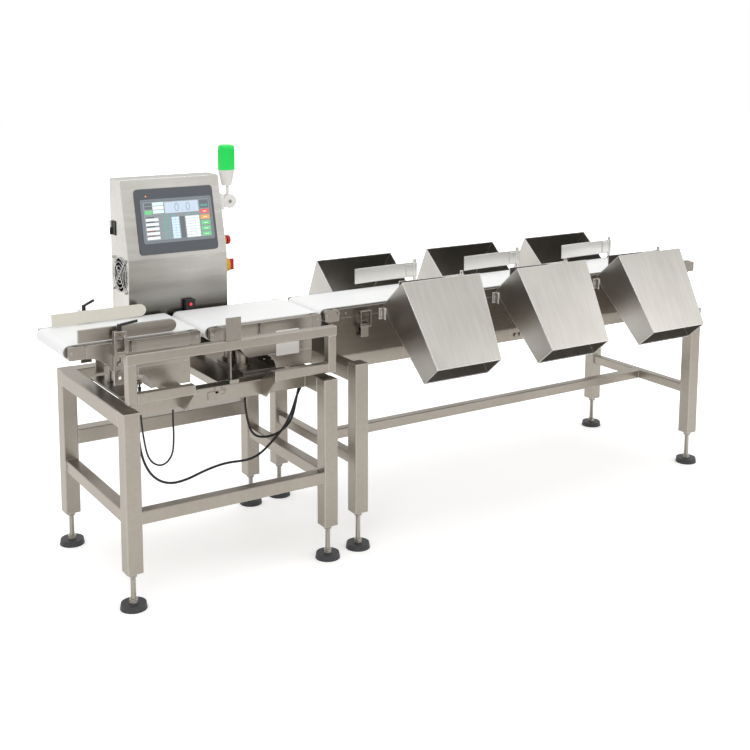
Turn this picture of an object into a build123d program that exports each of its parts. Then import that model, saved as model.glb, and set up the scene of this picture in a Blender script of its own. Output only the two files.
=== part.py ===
from build123d import *
import os
from math import atan2, cos, degrees, hypot, pi, radians, sin, tan

os.makedirs("parts", exist_ok=True)

# Frame: +X is the flow, -Y is the operator's side, +Z is up, the floor is z = 0 and
# y = 0 is the middle of the sorter belt. Millimetres.

# Belts and rollers
belt_top = 780.0        # product height, the same on all three belts
belt_t = 2.0
belt_gap = 10.0         # between two belts in the flow
line_start = -1315.0    # x of the infeed belt's first point
infeed_l = 440.0
weigh_l = 420.0
sorter_l = 1770.0
weigh_belt_w = 250.0    # infeed and weighing belt
sorter_belt_w = 220.0
roller_r = 19.0
axle_r = 6.0
run_fit = 0.05          # radial, every shaft in its bore
seam = 0.1              # between pieces of one frame that are welded or bolted together
touch_gap = 0.3         # between a moving piece and its seat

# Conveyor frames
side_room = 20.0        # belt edge to the outer face of the side plates
plate_t = 4.0
plate_drop = 4.0        # side plate's top edge below the belt's top
bed_t = 3.0
bed_margin = 4.0        # bed end to roller
block_t = 17.0
block_h = 40.0
block_drop = 3.0        # block's top below the belt's top
block_round = 7.0
block_nose = 10.0       # block's end outside the roller's axis
long_block_l = 64.0
short_block_l = 46.0
thin_block_t = 5.0      # driven end, rear side, beside the pulley
infeed_plate_low = 690.0
weigh_plate_low = 668.0
cover_t = 2.0
cover_low = 619.0
infeed_cover_in = 216.0  # left end of the tray before the belt's head
weigh_cover_in = 207.0
load_plate_in = 79.0    # load plate's left corner before the weighing tray

# Drives
pulley_r = 10.0
pulley_w = 10.0
pulley_gap = 3.0        # belt edge to pulley
tooth_belt_t = 1.5
motor_r = 28.0
motor_z = 652.0
motor_l = 150.0
motor_shaft_r = 5.0
infeed_motor_in = 110.0  # motor shaft before the belt's head
weigh_motor_in = 115.0
sorter_motor_in = 185.0
shelf_t = 4.0

# Stand under the infeed and the weighing belt
tube = 50.0
tube_round = 4.0
tube_wall = 3.0
brace = 40.0
stand_in_left = 115.0   # stand inside the infeed belt's tail
stand_in_right = 40.0   # and inside the weighing belt's head
weigh_stand_front = -315.0
weigh_stand_back = 285.0
weigh_stand_top = 600.0
weigh_leg_low = 113.0
front_beam_y = -190.0   # its front face, set back from the legs
rear_low_beam_z = 346.0
brace_z = 258.0

# Guard in front of the weighing belt
guard_tube = 30.0
guard_x0 = -1175.0
guard_past = 11.0       # guard's end past the stand
guard_y = -288.0
guard_low = 616.0
guard_top = 765.0
guard_left_end = -968.0
guard_right_end = -690.0
gusset_t = 5.0

# Stand under the sorter
sorter_stand_in = 25.0  # stand inside the belt's tail
sorter_stand_l = 1600.0
sorter_stand_w = 600.0
sorter_leg_top = 630.0
sorter_leg_low = 126.0
sorter_beam_top = 617.0
sorter_beam_y = 125.0   # outer face of the long beams
sorter_splice_1 = 303.0  # joints of the long beams, from the stand's left end
sorter_splice_2 = 780.0
h_brace = 35.0
h_brace_z = 284.0

# Sorter body
panel_t = 3.0
body_in = 45.0          # body's right end inside the belt's head
body_line_z = 745.0     # shadow line along the panels
body_line = 1.5

# Swing arms and chutes
lane_pitch = 490.0
lanes = 3
front_chute_in = 235.0  # left edge of the first front chute's mouth, from the belt's tail
rear_chute_in = 198.0
mouth_w = 325.0
outlet_w = 265.0
mouth_low_z = 768.0
mouth_y = 252.0         # upper edge of the mouth
mouth_z = 870.0
outlet_y = 418.0        # upper edge of the outlet
outlet_z = 604.0
outlet_h = 99.0
chute_t = 2.0
tab_w = 13.0
tab_h = 39.0
tab_top = 763.0
post_r = 5.8
post_offset = 20.0      # chute edge to post
post_in = 10.0          # post to the panel's outer face
post_low = 690.0
post_over = 12.0        # post above the arm plate
arm_l = 265.0
arm_h = 55.0
arm_t = 3.0
arm_bow = 4.0
arm_tip_in = 5.0
arm_lift_front = 8.0    # arm plate above the belt
arm_lift_rear = 17.0
hub_r = 9.0
collar_r = 9.5
collar_h = 5.0

# Cabinet
cab_x0 = -1002.0
cab_w = 350.0
cab_low = 640.0
cab_front = 135.0
cab_knee_z = 958.0
cab_lean = 61.0
cab_top = 1214.0
cab_t = 3.0
door_t = 18.0
door_gap = 1.0
hinge_out = 5.5         # hinge axis outside the left face
hinge_r = 4.5
pin_r = 2.5
hinge_h = 46.0
hinge_z_high = 1029.0
hinge_z_low = 730.0
fan_y = 205.0
fan_z = 903.0
fan_size = 120.0
fan_r = 54.0
fan_depth = 25.0
fan_hub_r = 20.0
fan_blades = 7
wire_r = 1.3
bezel_w = 276.0
bezel_h = 216.0
bezel_t = 6.0
bezel_round = 12.0
screen_w = 234.0
screen_h = 128.0
screen_t = 1.2
screen_right = 3.5      # screen's middle right of the bezel's
estop_y = 165.0
estop_z = 994.0
estop_r = 16.0
estop_h = 12.0
estop_press = 4.0
switch_y = 166.0
switch_z = 908.0
switch_plate = 54.0
switch_r = 23.0
switch_dome = 14.0
beacon_x = -612.0       # swivel axis
beacon_y = 200.0
beacon_z = 1121.0
beacon_hub_r = 24.0
beacon_disc_t = 13.0
lens_r = 30.0
lens_z = 1229.0
lens_h = 86.0

# Feet
rod_r = 8.0
rod_in = 40.0
foot_travel = 30.0
pad_r = 40.5
pad_h = 18.0
nut_af = 24.0
nut_h = 13.0

# Guide rails over the infeed belt
rail_x0 = -1269.0
rail_l = 308.0
rail_h = 38.0
rail_t = 8.0
rail_lift = 4.0         # above the belt
rail_inset = 8.0        # the rear rail's face inside the belt's edge
rail_travel = 35.0
rail_rod_r = 5.0
clamp_x = -1151.0
clamp_w = 38.0
clamp_t = 20.0
clamp_over = 9.0        # clamp above the rail's rod
clamp_h = 74.0
strap_h = 92.0
strap_t = 5.0
lever_pin_r = 3.0
lever_hub_r = 6.5
lever_hub_h = 20.0
lever_l = 56.0
lever_rise = 7.0
lever_low = 13.0       # handle's underside above the hub's foot, clear of the rail
rear_lever_turned = 37.0  # the rear lever's handle, from the flow

# Latch on the sorter's front panel
latch_in = 156.0        # from the belt's tail
latch_w = 36.0
latch_z = 716.0
latch_out = 9.0         # lever's pivot in front of the panel
latch_pin_r = 2.5
hook_out = 12.0         # hook's pivot in front of the lever's
hook_drop = 4.0
hook_h = 54.0
hook_play = 1.0         # nose to lip, for the hook's first lift

# Cords
cord_r = 4.0
loop_cord_r = 3.0
gland_r = 8.0
gland_h = 12.0
main_cord_x = -1034.0   # at the infeed tray
main_cord_y = 10.0
loop_x0 = -1050.0
loop_x1 = -939.0
loop_y = -60.0
cell_cord_x = -640.0
cell_cord_y = 40.0
cord_end_x = -344.0     # under the sorter's floor
main_end_y = 25.0
cell_end_y = 58.0

# Values that follow from the ones above
roller_z = belt_top - belt_t - run_fit - roller_r
belt_in_r = roller_r + run_fit
belt_out_r = belt_in_r + belt_t
infeed_x0 = line_start
infeed_x1 = infeed_x0 + infeed_l
weigh_x0 = infeed_x1 + belt_gap
weigh_x1 = weigh_x0 + weigh_l
sorter_x0 = weigh_x1 + belt_gap
sorter_x1 = sorter_x0 + sorter_l
infeed_cover_x, weigh_cover_x = infeed_x1 - infeed_cover_in, weigh_x1 - weigh_cover_in
infeed_motor_x, weigh_motor_x = infeed_x1 - infeed_motor_in, weigh_x1 - weigh_motor_in
load_x0 = weigh_cover_x - load_plate_in
sorter_motor_x = sorter_x1 - sorter_motor_in
body_x1 = sorter_x1 - body_in
front_chute_x, rear_chute_x = sorter_x0 + front_chute_in, sorter_x0 + rear_chute_in
latch_x = sorter_x0 + latch_in
infeed_tail, infeed_head = infeed_x0 + belt_out_r, infeed_x1 - belt_out_r
weigh_tail, weigh_head = weigh_x0 + belt_out_r, weigh_x1 - belt_out_r
sorter_tail, sorter_head = sorter_x0 + belt_out_r, sorter_x1 - belt_out_r
weigh_y = (sorter_belt_w - weigh_belt_w) / 2        # rear belt edges in one line
weigh_half = weigh_belt_w / 2 + side_room
sorter_half = sorter_belt_w / 2 + side_room
plate_front, plate_back = weigh_y - weigh_half, weigh_y + weigh_half
plate_top = belt_top - plate_drop
bed_top = belt_top - belt_t
block_top = belt_top - block_drop
block_z = block_top - block_h / 2
infeed_p0 = infeed_tail - roller_r + long_block_l
infeed_p1 = infeed_head + roller_r - short_block_l
weigh_p0 = weigh_tail - roller_r + short_block_l
weigh_p1 = weigh_head + roller_r - short_block_l
sorter_p0 = sorter_tail - roller_r + long_block_l
sorter_p1 = sorter_head + roller_r - long_block_l
pulley_y = sorter_belt_w / 2 + pulley_gap           # both lines share the rear belt edge
weigh_stand_x, weigh_stand_x1 = infeed_x0 + stand_in_left, weigh_x1 - stand_in_right
guard_x1 = weigh_stand_x1 + guard_past
sorter_stand_x = sorter_x0 + sorter_stand_in
sorter_stand_x1 = sorter_stand_x + sorter_stand_l
sorter_stand_y = sorter_stand_w / 2
cab_x1 = cab_x0 + cab_w
cab_back = weigh_stand_back
shell_back = cab_back - door_t - door_gap
cab_slope = hypot(cab_lean, cab_top - cab_knee_z)
cab_tilt = degrees(atan2(cab_lean, cab_top - cab_knee_z))
post_y = sorter_half - post_in
rail_z = belt_top + rail_lift + rail_h / 2
clamp_top = rail_z + clamp_over
clamp_low = clamp_top - clamp_h
strap_low = clamp_low - strap_h
front_clamp_y = plate_front - clamp_t / 2
rear_clamp_y = plate_back + clamp_t / 2
motor_front = pulley_y - 8 - motor_l


def block(x0, x1, y0, y1, z0, z1, mode=Mode.ADD):
    """A block between two corners."""
    with Locations(((x0 + x1) / 2, (y0 + y1) / 2, (z0 + z1) / 2)):
        Box(x1 - x0, y1 - y0, z1 - z0, mode=mode)


def bar_x(x0, x1, y, z, r, mode=Mode.ADD):
    """A round bar along X."""
    with Locations(((x0 + x1) / 2, y, z)):
        Cylinder(r, x1 - x0, rotation=(0, 90, 0), mode=mode)


def bar_y(x, y0, y1, z, r, mode=Mode.ADD):
    """A round bar along Y."""
    with Locations((x, (y0 + y1) / 2, z)):
        Cylinder(r, y1 - y0, rotation=(90, 0, 0), mode=mode)


def bar_z(x, y, z0, z1, r, mode=Mode.ADD):
    """A round bar along Z."""
    with Locations((x, y, (z0 + z1) / 2)):
        Cylinder(r, z1 - z0, mode=mode)


def tube_section(size):
    """The section of a square tube, in the sketch that calls it."""
    RectangleRounded(size, size, tube_round)
    RectangleRounded(size - 2 * tube_wall, size - 2 * tube_wall, tube_round - tube_wall + 0.5,
                     mode=Mode.SUBTRACT)


def tube_x(x0, x1, y0, z0, size):
    """A square tube along X, from its lower front edge, ends clear by the weld seam."""
    with BuildSketch(Plane.YZ.offset(x0 + seam)) as face:
        with Locations((y0 + size / 2, z0 + size / 2)):
            tube_section(size)
    extrude(face.sketch, amount=x1 - x0 - 2 * seam)


def tube_y(x0, y0, y1, z0, size):
    """A square tube along Y."""
    with BuildSketch(Plane.XZ.offset(-y1 + seam)) as face:
        with Locations((x0 + size / 2, z0 + size / 2)):
            tube_section(size)
    extrude(face.sketch, amount=y1 - y0 - 2 * seam)


def tube_z(x0, y0, z0, z1, size):
    """A square post along Z, closed at both ends."""
    with BuildSketch(Plane.XY.offset(z0)) as face:
        with Locations((x0 + size / 2, y0 + size / 2)):
            RectangleRounded(size, size, tube_round)
    extrude(face.sketch, amount=z1 - z0)


def sheet_xz(points, y0, y1, mode=Mode.ADD):
    """A flat outline in XZ, thick along Y."""
    with BuildSketch(Plane.XZ.offset(-y1)) as face:
        with BuildLine():
            Polyline(*points, close=True)
        make_face()
    extrude(face.sketch, amount=y1 - y0, mode=mode)


def sheet_yz(points, x0, x1, mode=Mode.ADD):
    """A flat outline in YZ, thick along X."""
    with BuildSketch(Plane.YZ.offset(x0)) as face:
        with BuildLine():
            Polyline(*points, close=True)
        make_face()
    extrude(face.sketch, amount=x1 - x0, mode=mode)


def belt_loop(tail, head, y, width):
    """A flat belt around two rollers of one size."""
    middle, run = (tail + head) / 2, head - tail
    with BuildSketch(Plane.XZ.offset(-y - width / 2)) as face:
        with Locations((middle, roller_z)):
            SlotCenterToCenter(run, 2 * belt_out_r)
            SlotCenterToCenter(run, 2 * belt_in_r, mode=Mode.SUBTRACT)
    extrude(face.sketch, amount=width)


def idler(x, y, width):
    """A free roller on its axle."""
    bar_y(x, y - width / 2, y + width / 2, roller_z, roller_r)
    reach = width / 2 + side_room - 1
    bar_y(x, y - reach, y + reach, roller_z, axle_r)


def driver(x, y, width):
    """A driven roller with its pulley on the rear side."""
    idler(x, y, width)
    bar_y(x, pulley_y, pulley_y + pulley_w, roller_z, pulley_r)


def motor_pulley(x):
    """A pulley on its motor's shaft."""
    bar_y(x, pulley_y, pulley_y + pulley_w, motor_z, pulley_r)
    bar_y(x, pulley_y - 28, pulley_y + pulley_w + 2, motor_z, motor_shaft_r)


def toothed_belt(motor_x, head):
    """The loop from a motor pulley to its roller."""
    run = hypot(head - motor_x, roller_z - motor_z)
    turn = degrees(atan2(roller_z - motor_z, head - motor_x))
    inside = pulley_r + run_fit
    with BuildSketch(Plane.XZ.offset(-pulley_y - pulley_w)) as face:
        with Locations(Location(((motor_x + head) / 2, (motor_z + roller_z) / 2), turn)):
            SlotCenterToCenter(run, 2 * (inside + tooth_belt_t))
            SlotCenterToCenter(run, 2 * inside, mode=Mode.SUBTRACT)
    extrude(face.sketch, amount=pulley_w)


def motor(x, foot_z, under):
    """A motor with the bore for its shaft and a foot that meets the shelf or the floor."""
    back = pulley_y - 8
    bar_y(x, motor_front, back, motor_z, motor_r)
    block(x - 20, x + 20, motor_front + 20, back - 20, *sorted((foot_z, motor_z + under * motor_r / 2)))
    bar_y(x, back - 24, back + 1, motor_z, motor_shaft_r + run_fit, mode=Mode.SUBTRACT)
    bar_y(x, motor_front - 1, motor_front + 12, motor_z, motor_r - 6, mode=Mode.SUBTRACT)


def end_block(axis, toward, y0, y1, length):
    """A bearing block; toward is the side of the belt's end, +1 or -1."""
    nose, root = axis + toward * block_nose, axis + toward * (roller_r - length)
    with BuildSketch(Plane.XZ.offset(-y1)) as face:
        with Locations(((nose + root) / 2, block_z)):
            RectangleRounded(abs(nose - root) - 2 * seam, block_h, block_round)
        with Locations((axis, roller_z)):
            Circle(axle_r + run_fit, mode=Mode.SUBTRACT)
    extrude(face.sketch, amount=y1 - y0)


def bed(p0, p1, tail, head, y, belt_w, half, room):
    """The slider bed with the folded edges that join it to the side plates."""
    x0, x1 = tail + roller_r + bed_margin, head - roller_r - bed_margin
    block(x0, x1, y - belt_w / 2 - 2, y + belt_w / 2 + 2, bed_top - bed_t, bed_top)
    low = plate_top - bed_t
    inner = half - room - seam
    block(p0 + seam, p1 - seam, y - inner, y - belt_w / 2 + 4, low, plate_top)
    block(p0 + seam, p1 - seam, y + belt_w / 2 - 4, y + inner, low, plate_top)


def hex_nut(x, y, z, bore):
    """A hexagon nut that stands on z."""
    with BuildSketch(Plane.XY.offset(z)) as face:
        with Locations((x, y)):
            RegularPolygon(nut_af / 2, 6, major_radius=False)
            Circle(bore, mode=Mode.SUBTRACT)
    extrude(face.sketch, amount=nut_h)


def hex_head(x, y, z, along, size=13.0, height=6.0):
    """A hexagon head on a face; along is the plane's outward direction."""
    with BuildSketch(Plane(origin=(x, y, z), z_dir=along)) as face:
        RegularPolygon(size / 2, 6, major_radius=False)
    extrude(face.sketch, amount=height)


def foot(x, y, leg_low):
    """A levelling foot: pad, lower nut and threaded rod."""
    with BuildSketch(Plane.XY) as low:
        with Locations((x, y)):
            Circle(pad_r)
    with BuildSketch(Plane.XY.offset(pad_h)) as high:
        with Locations((x, y)):
            Circle(pad_r - 3)
    loft(Sketch() + [low.sketch, high.sketch])
    hex_nut(x, y, pad_h, rod_r - 1)
    bar_z(x, y, pad_h / 2, leg_low + rod_in, rod_r)


def leg(x0, y0, z0, z1):
    """A leg with the blind bore for its foot's rod."""
    tube_z(x0, y0, z0, z1, tube)
    bore = rod_in + foot_travel + 2
    bar_z(x0 + tube / 2, y0 + tube / 2, z0 - 1, z0 + bore, rod_r + run_fit, mode=Mode.SUBTRACT)
    block(x0 + tube_wall, x0 + tube - tube_wall, y0 + tube_wall, y0 + tube - tube_wall,
          z0 + bore + tube_wall, z1 - tube_wall, mode=Mode.SUBTRACT)


def arm(lane, side, lift, chute_x):
    """A swing arm; side is +1 at the rear and -1 at the front."""
    x = chute_x + mouth_w + post_offset + lane * lane_pitch
    y = side * post_y
    z = belt_top + lift
    bar_z(x, y, post_low, z + arm_h + post_over, post_r)
    bar_z(x, y, z, z + arm_h, hub_r)
    tip = (x - arm_l, side * (post_y - arm_tip_in))
    mid = (x - arm_l / 2, side * (post_y + arm_bow - arm_tip_in / 2))
    with BuildSketch(Plane.XY.offset(z)) as face:
        with BuildLine():
            ThreePointArc((x, y - arm_t / 2), (mid[0], mid[1] - arm_t / 2), (tip[0], tip[1] - arm_t / 2))
            Line((tip[0], tip[1] - arm_t / 2), (tip[0], tip[1] + arm_t / 2))
            ThreePointArc((tip[0], tip[1] + arm_t / 2), (mid[0], mid[1] + arm_t / 2), (x, y + arm_t / 2))
            Line((x, y + arm_t / 2), (x, y - arm_t / 2))
        make_face()
    extrude(face.sketch, amount=arm_h)
    block(x - 38, x, *sorted((y, y - side * 4.5)), z + 6, z + arm_h - 6)


def chute(x0, side):
    """An open duct from the belt down to its outlet, with its two mounting tabs."""
    low = (sorter_half + 1.5, mouth_low_z)
    run = hypot(mouth_y - low[0], mouth_z - low[1])
    dy, dz = (mouth_y - low[0]) / run, (mouth_z - low[1]) / run
    out_low = (outlet_y - outlet_h * dy, outlet_z - outlet_h * dz)
    m1 = ((mouth_y + low[0]) / 2, (mouth_z + low[1]) / 2)
    m2 = ((outlet_y + out_low[0]) / 2, (outlet_z + out_low[1]) / 2)
    depth = (m2[0] - m1[0]) * dz - (m2[1] - m1[1]) * dy
    slip = (m2[0] - m1[0]) * dy + (m2[1] - m1[1]) * dz
    x = x0 + mouth_w / 2
    mouth = Plane(origin=(x, side * m1[0], m1[1]), x_dir=(1, 0, 0), z_dir=(0, side * dz, -dy))
    flip = 1 if mouth.y_dir.Z > 0 else -1
    for t, mode in ((0, Mode.ADD), (chute_t, Mode.SUBTRACT)):
        with BuildSketch(mouth) as a:
            Rectangle(mouth_w - 2 * t, run - 2 * t)
        with BuildSketch(mouth.offset(depth)) as b:
            with Locations((0, flip * slip)):
                Rectangle(outlet_w - 2 * t, outlet_h - 2 * t)
        loft(Sketch() + [a.sketch, b.sketch], mode=mode)
    face_y = side * (sorter_half + seam)
    for edge, outward in ((x0, -1), (x0 + mouth_w, 1)):
        block(*sorted((edge + outward * tab_w, edge - outward * chute_t)),
              *sorted((face_y, face_y + side * 3)), tab_top - tab_h, tab_top)
        block(*sorted((edge + outward * 3, edge - outward * chute_t)),
              *sorted((face_y, face_y + side * 22)), tab_top - tab_h, tab_top)


def on_slope(x, v, lift):
    """The plane of the cabinet's sloping face, v up the slope, lift outside it."""
    y = cab_front + v / cab_slope * cab_lean
    z = cab_knee_z + v / cab_slope * (cab_top - cab_knee_z)
    normal = (0, -(cab_top - cab_knee_z) / cab_slope, cab_lean / cab_slope)
    return Plane(origin=(x, y, z), x_dir=(1, 0, 0), z_dir=normal).offset(lift)


def cord(name, points, radius):
    """A round cord through points, straight runs joined by tangent arcs."""
    vectors = [Vector(*p) for p in points]
    radii = []
    for before, here, after in zip(vectors, vectors[1:], vectors[2:]):
        a, b = here - before, after - here
        turn = radians(a.get_angle(b))
        radii.append(0.45 * min(a.length, b.length) / tan(turn / 2))
    print(name, "cord radii", [round(r, 1) for r in radii])
    with BuildLine() as path:
        FilletPolyline(*points, radius=radii)
    with BuildSketch(Plane(origin=points[0], z_dir=(vectors[1] - vectors[0]).normalized())) as section:
        Circle(radius)
    sweep(section.sketch, path=path.line)
    run = sum(edge.length for edge in path.edges())
    print(name, "cord length", round(run), "times section", round(run * pi * radius ** 2))


# Belts and their rollers
with BuildPart() as infeed_belt:
    belt_loop(infeed_tail, infeed_head, weigh_y, weigh_belt_w)
infeed_belt.part.label = "infeed_belt"
export_step(infeed_belt.part, "parts/infeed_belt.step")

with BuildPart() as weigh_belt:
    belt_loop(weigh_tail, weigh_head, weigh_y, weigh_belt_w)
weigh_belt.part.label = "weigh_belt"
export_step(weigh_belt.part, "parts/weigh_belt.step")

with BuildPart() as sorter_belt:
    belt_loop(sorter_tail, sorter_head, 0, sorter_belt_w)
sorter_belt.part.label = "sorter_belt"
export_step(sorter_belt.part, "parts/sorter_belt.step")

with BuildPart() as infeed_idler_roller:
    idler(infeed_tail, weigh_y, weigh_belt_w)
infeed_idler_roller.part.label = "infeed_idler_roller"
export_step(infeed_idler_roller.part, "parts/infeed_idler_roller.step")

with BuildPart() as infeed_drive_roller:
    driver(infeed_head, weigh_y, weigh_belt_w)
infeed_drive_roller.part.label = "infeed_drive_roller"
export_step(infeed_drive_roller.part, "parts/infeed_drive_roller.step")

with BuildPart() as weigh_idler_roller:
    idler(weigh_tail, weigh_y, weigh_belt_w)
weigh_idler_roller.part.label = "weigh_idler_roller"
export_step(weigh_idler_roller.part, "parts/weigh_idler_roller.step")

with BuildPart() as weigh_drive_roller:
    driver(weigh_head, weigh_y, weigh_belt_w)
weigh_drive_roller.part.label = "weigh_drive_roller"
export_step(weigh_drive_roller.part, "parts/weigh_drive_roller.step")

with BuildPart() as sorter_idler_roller:
    idler(sorter_tail, 0, sorter_belt_w)
sorter_idler_roller.part.label = "sorter_idler_roller"
export_step(sorter_idler_roller.part, "parts/sorter_idler_roller.step")

with BuildPart() as sorter_drive_roller:
    driver(sorter_head, 0, sorter_belt_w)
sorter_drive_roller.part.label = "sorter_drive_roller"
export_step(sorter_drive_roller.part, "parts/sorter_drive_roller.step")

with BuildPart() as infeed_motor_pulley:
    motor_pulley(infeed_motor_x)
infeed_motor_pulley.part.label = "infeed_motor_pulley"
export_step(infeed_motor_pulley.part, "parts/infeed_motor_pulley.step")

with BuildPart() as weigh_motor_pulley:
    motor_pulley(weigh_motor_x)
weigh_motor_pulley.part.label = "weigh_motor_pulley"
export_step(weigh_motor_pulley.part, "parts/weigh_motor_pulley.step")

with BuildPart() as sorter_motor_pulley:
    motor_pulley(sorter_motor_x)
sorter_motor_pulley.part.label = "sorter_motor_pulley"
export_step(sorter_motor_pulley.part, "parts/sorter_motor_pulley.step")

with BuildPart() as toothed_belts:
    toothed_belt(infeed_motor_x, infeed_head)
    toothed_belt(weigh_motor_x, weigh_head)
    toothed_belt(sorter_motor_x, sorter_head)
toothed_belts.part.label = "toothed_belts"
export_step(toothed_belts.part, "parts/toothed_belts.step")

weigh_shelf_z = motor_z + motor_r + 6
pan_t = 3.0
pan_top = sorter_beam_top + pan_t
with BuildPart() as drive_motors:
    motor(infeed_motor_x, infeed_plate_low, 1)
    motor(weigh_motor_x, weigh_shelf_z, 1)
    motor(sorter_motor_x, pan_top, -1)
drive_motors.part.label = "drive_motors"
export_step(drive_motors.part, "parts/drive_motors.step")

# Bearing blocks at the belt ends, the tail ones with the recess of the tension screw
with BuildPart() as end_blocks:
    for axis, toward, length in ((infeed_tail, -1, long_block_l), (weigh_tail, -1, short_block_l),
                                 (infeed_head, 1, short_block_l), (weigh_head, 1, short_block_l)):
        rear_t = block_t if toward < 0 else thin_block_t
        end_block(axis, toward, plate_front, plate_front + block_t, length)
        end_block(axis, toward, plate_back - rear_t, plate_back, length)
    for axis, toward in ((sorter_tail, -1), (sorter_head, 1)):
        rear_t = block_t if toward < 0 else thin_block_t
        end_block(axis, toward, -sorter_half, -sorter_half + block_t, long_block_l)
        end_block(axis, toward, sorter_half - rear_t, sorter_half, long_block_l)
    for axis, front, back, reach in ((infeed_tail, plate_front, plate_back, 34),
                                     (weigh_tail, plate_front, plate_back, 18),
                                     (sorter_tail, -sorter_half, sorter_half, 34)):
        for side in (front + block_t / 2, back - block_t / 2):
            block(axis + 8, axis + 8 + reach / 2, side - 4, side + 4, block_top - 5, block_top + 1,
                  mode=Mode.SUBTRACT)
end_blocks.part.label = "end_blocks"
export_step(end_blocks.part, "parts/end_blocks.step")

# Infeed frame: side plates with their scooped corner, bed, motor shelf and two cross bars
infeed_scoop = 74.0
with BuildPart() as infeed_frame:
    for y0 in (plate_front, plate_back - plate_t):
        low_left = (infeed_p0 + seam, block_top - block_h)
        scoop_end = (infeed_p0 + infeed_scoop, infeed_plate_low)
        with BuildSketch(Plane.XZ.offset(-y0 - plate_t)) as face:
            with BuildLine():
                Line((infeed_p0 + seam, plate_top), low_left)
                ThreePointArc(low_left, (low_left[0] + 44, low_left[1] - 14), scoop_end)
                Line(scoop_end, (infeed_p1 - seam, infeed_plate_low))
                Line((infeed_p1 - seam, infeed_plate_low), (infeed_p1 - seam, plate_top))
                Line((infeed_p1 - seam, plate_top), (infeed_p0 + seam, plate_top))
            make_face()
        extrude(face.sketch, amount=plate_t)
    bed(infeed_p0, infeed_p1, infeed_tail, infeed_head, weigh_y, weigh_belt_w, weigh_half, plate_t)
    inner_front, inner_back = plate_front + plate_t + seam, plate_back - plate_t - seam
    block(infeed_motor_x - 60, infeed_motor_x - 20 - 2, inner_front, inner_back,
          infeed_plate_low, infeed_plate_low + shelf_t)
    block(infeed_motor_x - 22, infeed_motor_x + 40, inner_front, pulley_y - 4,
          infeed_plate_low, infeed_plate_low + shelf_t)
    bar_y(infeed_p0 + infeed_scoop + 90, inner_front, inner_back, infeed_plate_low + 22, 9)
infeed_frame.part.label = "infeed_frame"
export_step(infeed_frame.part, "parts/infeed_frame.step")

# Weighing frame: side plates with their chamfered corner, bed, load plate, motor shelf
weigh_step = 700.0
with BuildPart() as weigh_frame:
    for y0 in (plate_front, plate_back - plate_t):
        sheet_xz([(weigh_p0 + seam, plate_top), (weigh_p0 + seam, weigh_step),
                  (load_x0 - 22, weigh_step), (load_x0, weigh_step - 26),
                  (load_x0 + 6, weigh_plate_low), (weigh_p1 - seam, weigh_plate_low),
                  (weigh_p1 - seam, plate_top)], y0, y0 + plate_t)
    bed(weigh_p0, weigh_p1, weigh_tail, weigh_head, weigh_y, weigh_belt_w, weigh_half, plate_t)
    inner_front, inner_back = plate_front + plate_t + seam, plate_back - plate_t - seam
    block(load_x0 + 6, weigh_cover_x - 2, inner_front, inner_back, weigh_plate_low, weigh_plate_low + 6)
    block(weigh_motor_x - 60, weigh_motor_x - 22, inner_front, inner_back,
          weigh_shelf_z, weigh_shelf_z + shelf_t)
    block(weigh_motor_x - 22, weigh_motor_x + 40, inner_front, pulley_y - 4,
          weigh_shelf_z, weigh_shelf_z + shelf_t)
    bar_y(weigh_p0 + 40, inner_front, inner_back, weigh_step + 16, 9)
weigh_frame.part.label = "weigh_frame"
export_step(weigh_frame.part, "parts/weigh_frame.step")

# Trays under the two motors, open at the top, with the scooped lower corner
with BuildPart() as motor_covers:
    for x0, x1, top, notch in ((infeed_cover_x, infeed_p1, infeed_plate_low, 11),
                               (weigh_cover_x, weigh_p1, weigh_plate_low, 0)):
        y0, y1 = plate_front, plate_back
        for t, mode in ((0, Mode.ADD), (cover_t, Mode.SUBTRACT)):
            a, low, up = x0 + t, cover_low + t, top - seam
            knee = (a + notch, cover_low + 46 - t)
            end = (a + notch + 27, low)
            with BuildSketch(Plane.XZ.offset(-y1 + t)) as face:
                with BuildLine():
                    if notch:
                        Polyline((a, up), (a, knee[1]), knee)
                    else:
                        Line((a, up), knee)
                    ThreePointArc(knee, ((knee[0] + end[0]) / 2 + 6, (knee[1] + end[1]) / 2 + 4), end)
                    Polyline(end, (x1 - t, low), (x1 - t, up), (a, up))
                make_face()
            extrude(face.sketch, amount=y1 - y0 - 2 * t, mode=mode)
motor_covers.part.label = "motor_covers"
export_step(motor_covers.part, "parts/motor_covers.step")

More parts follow.
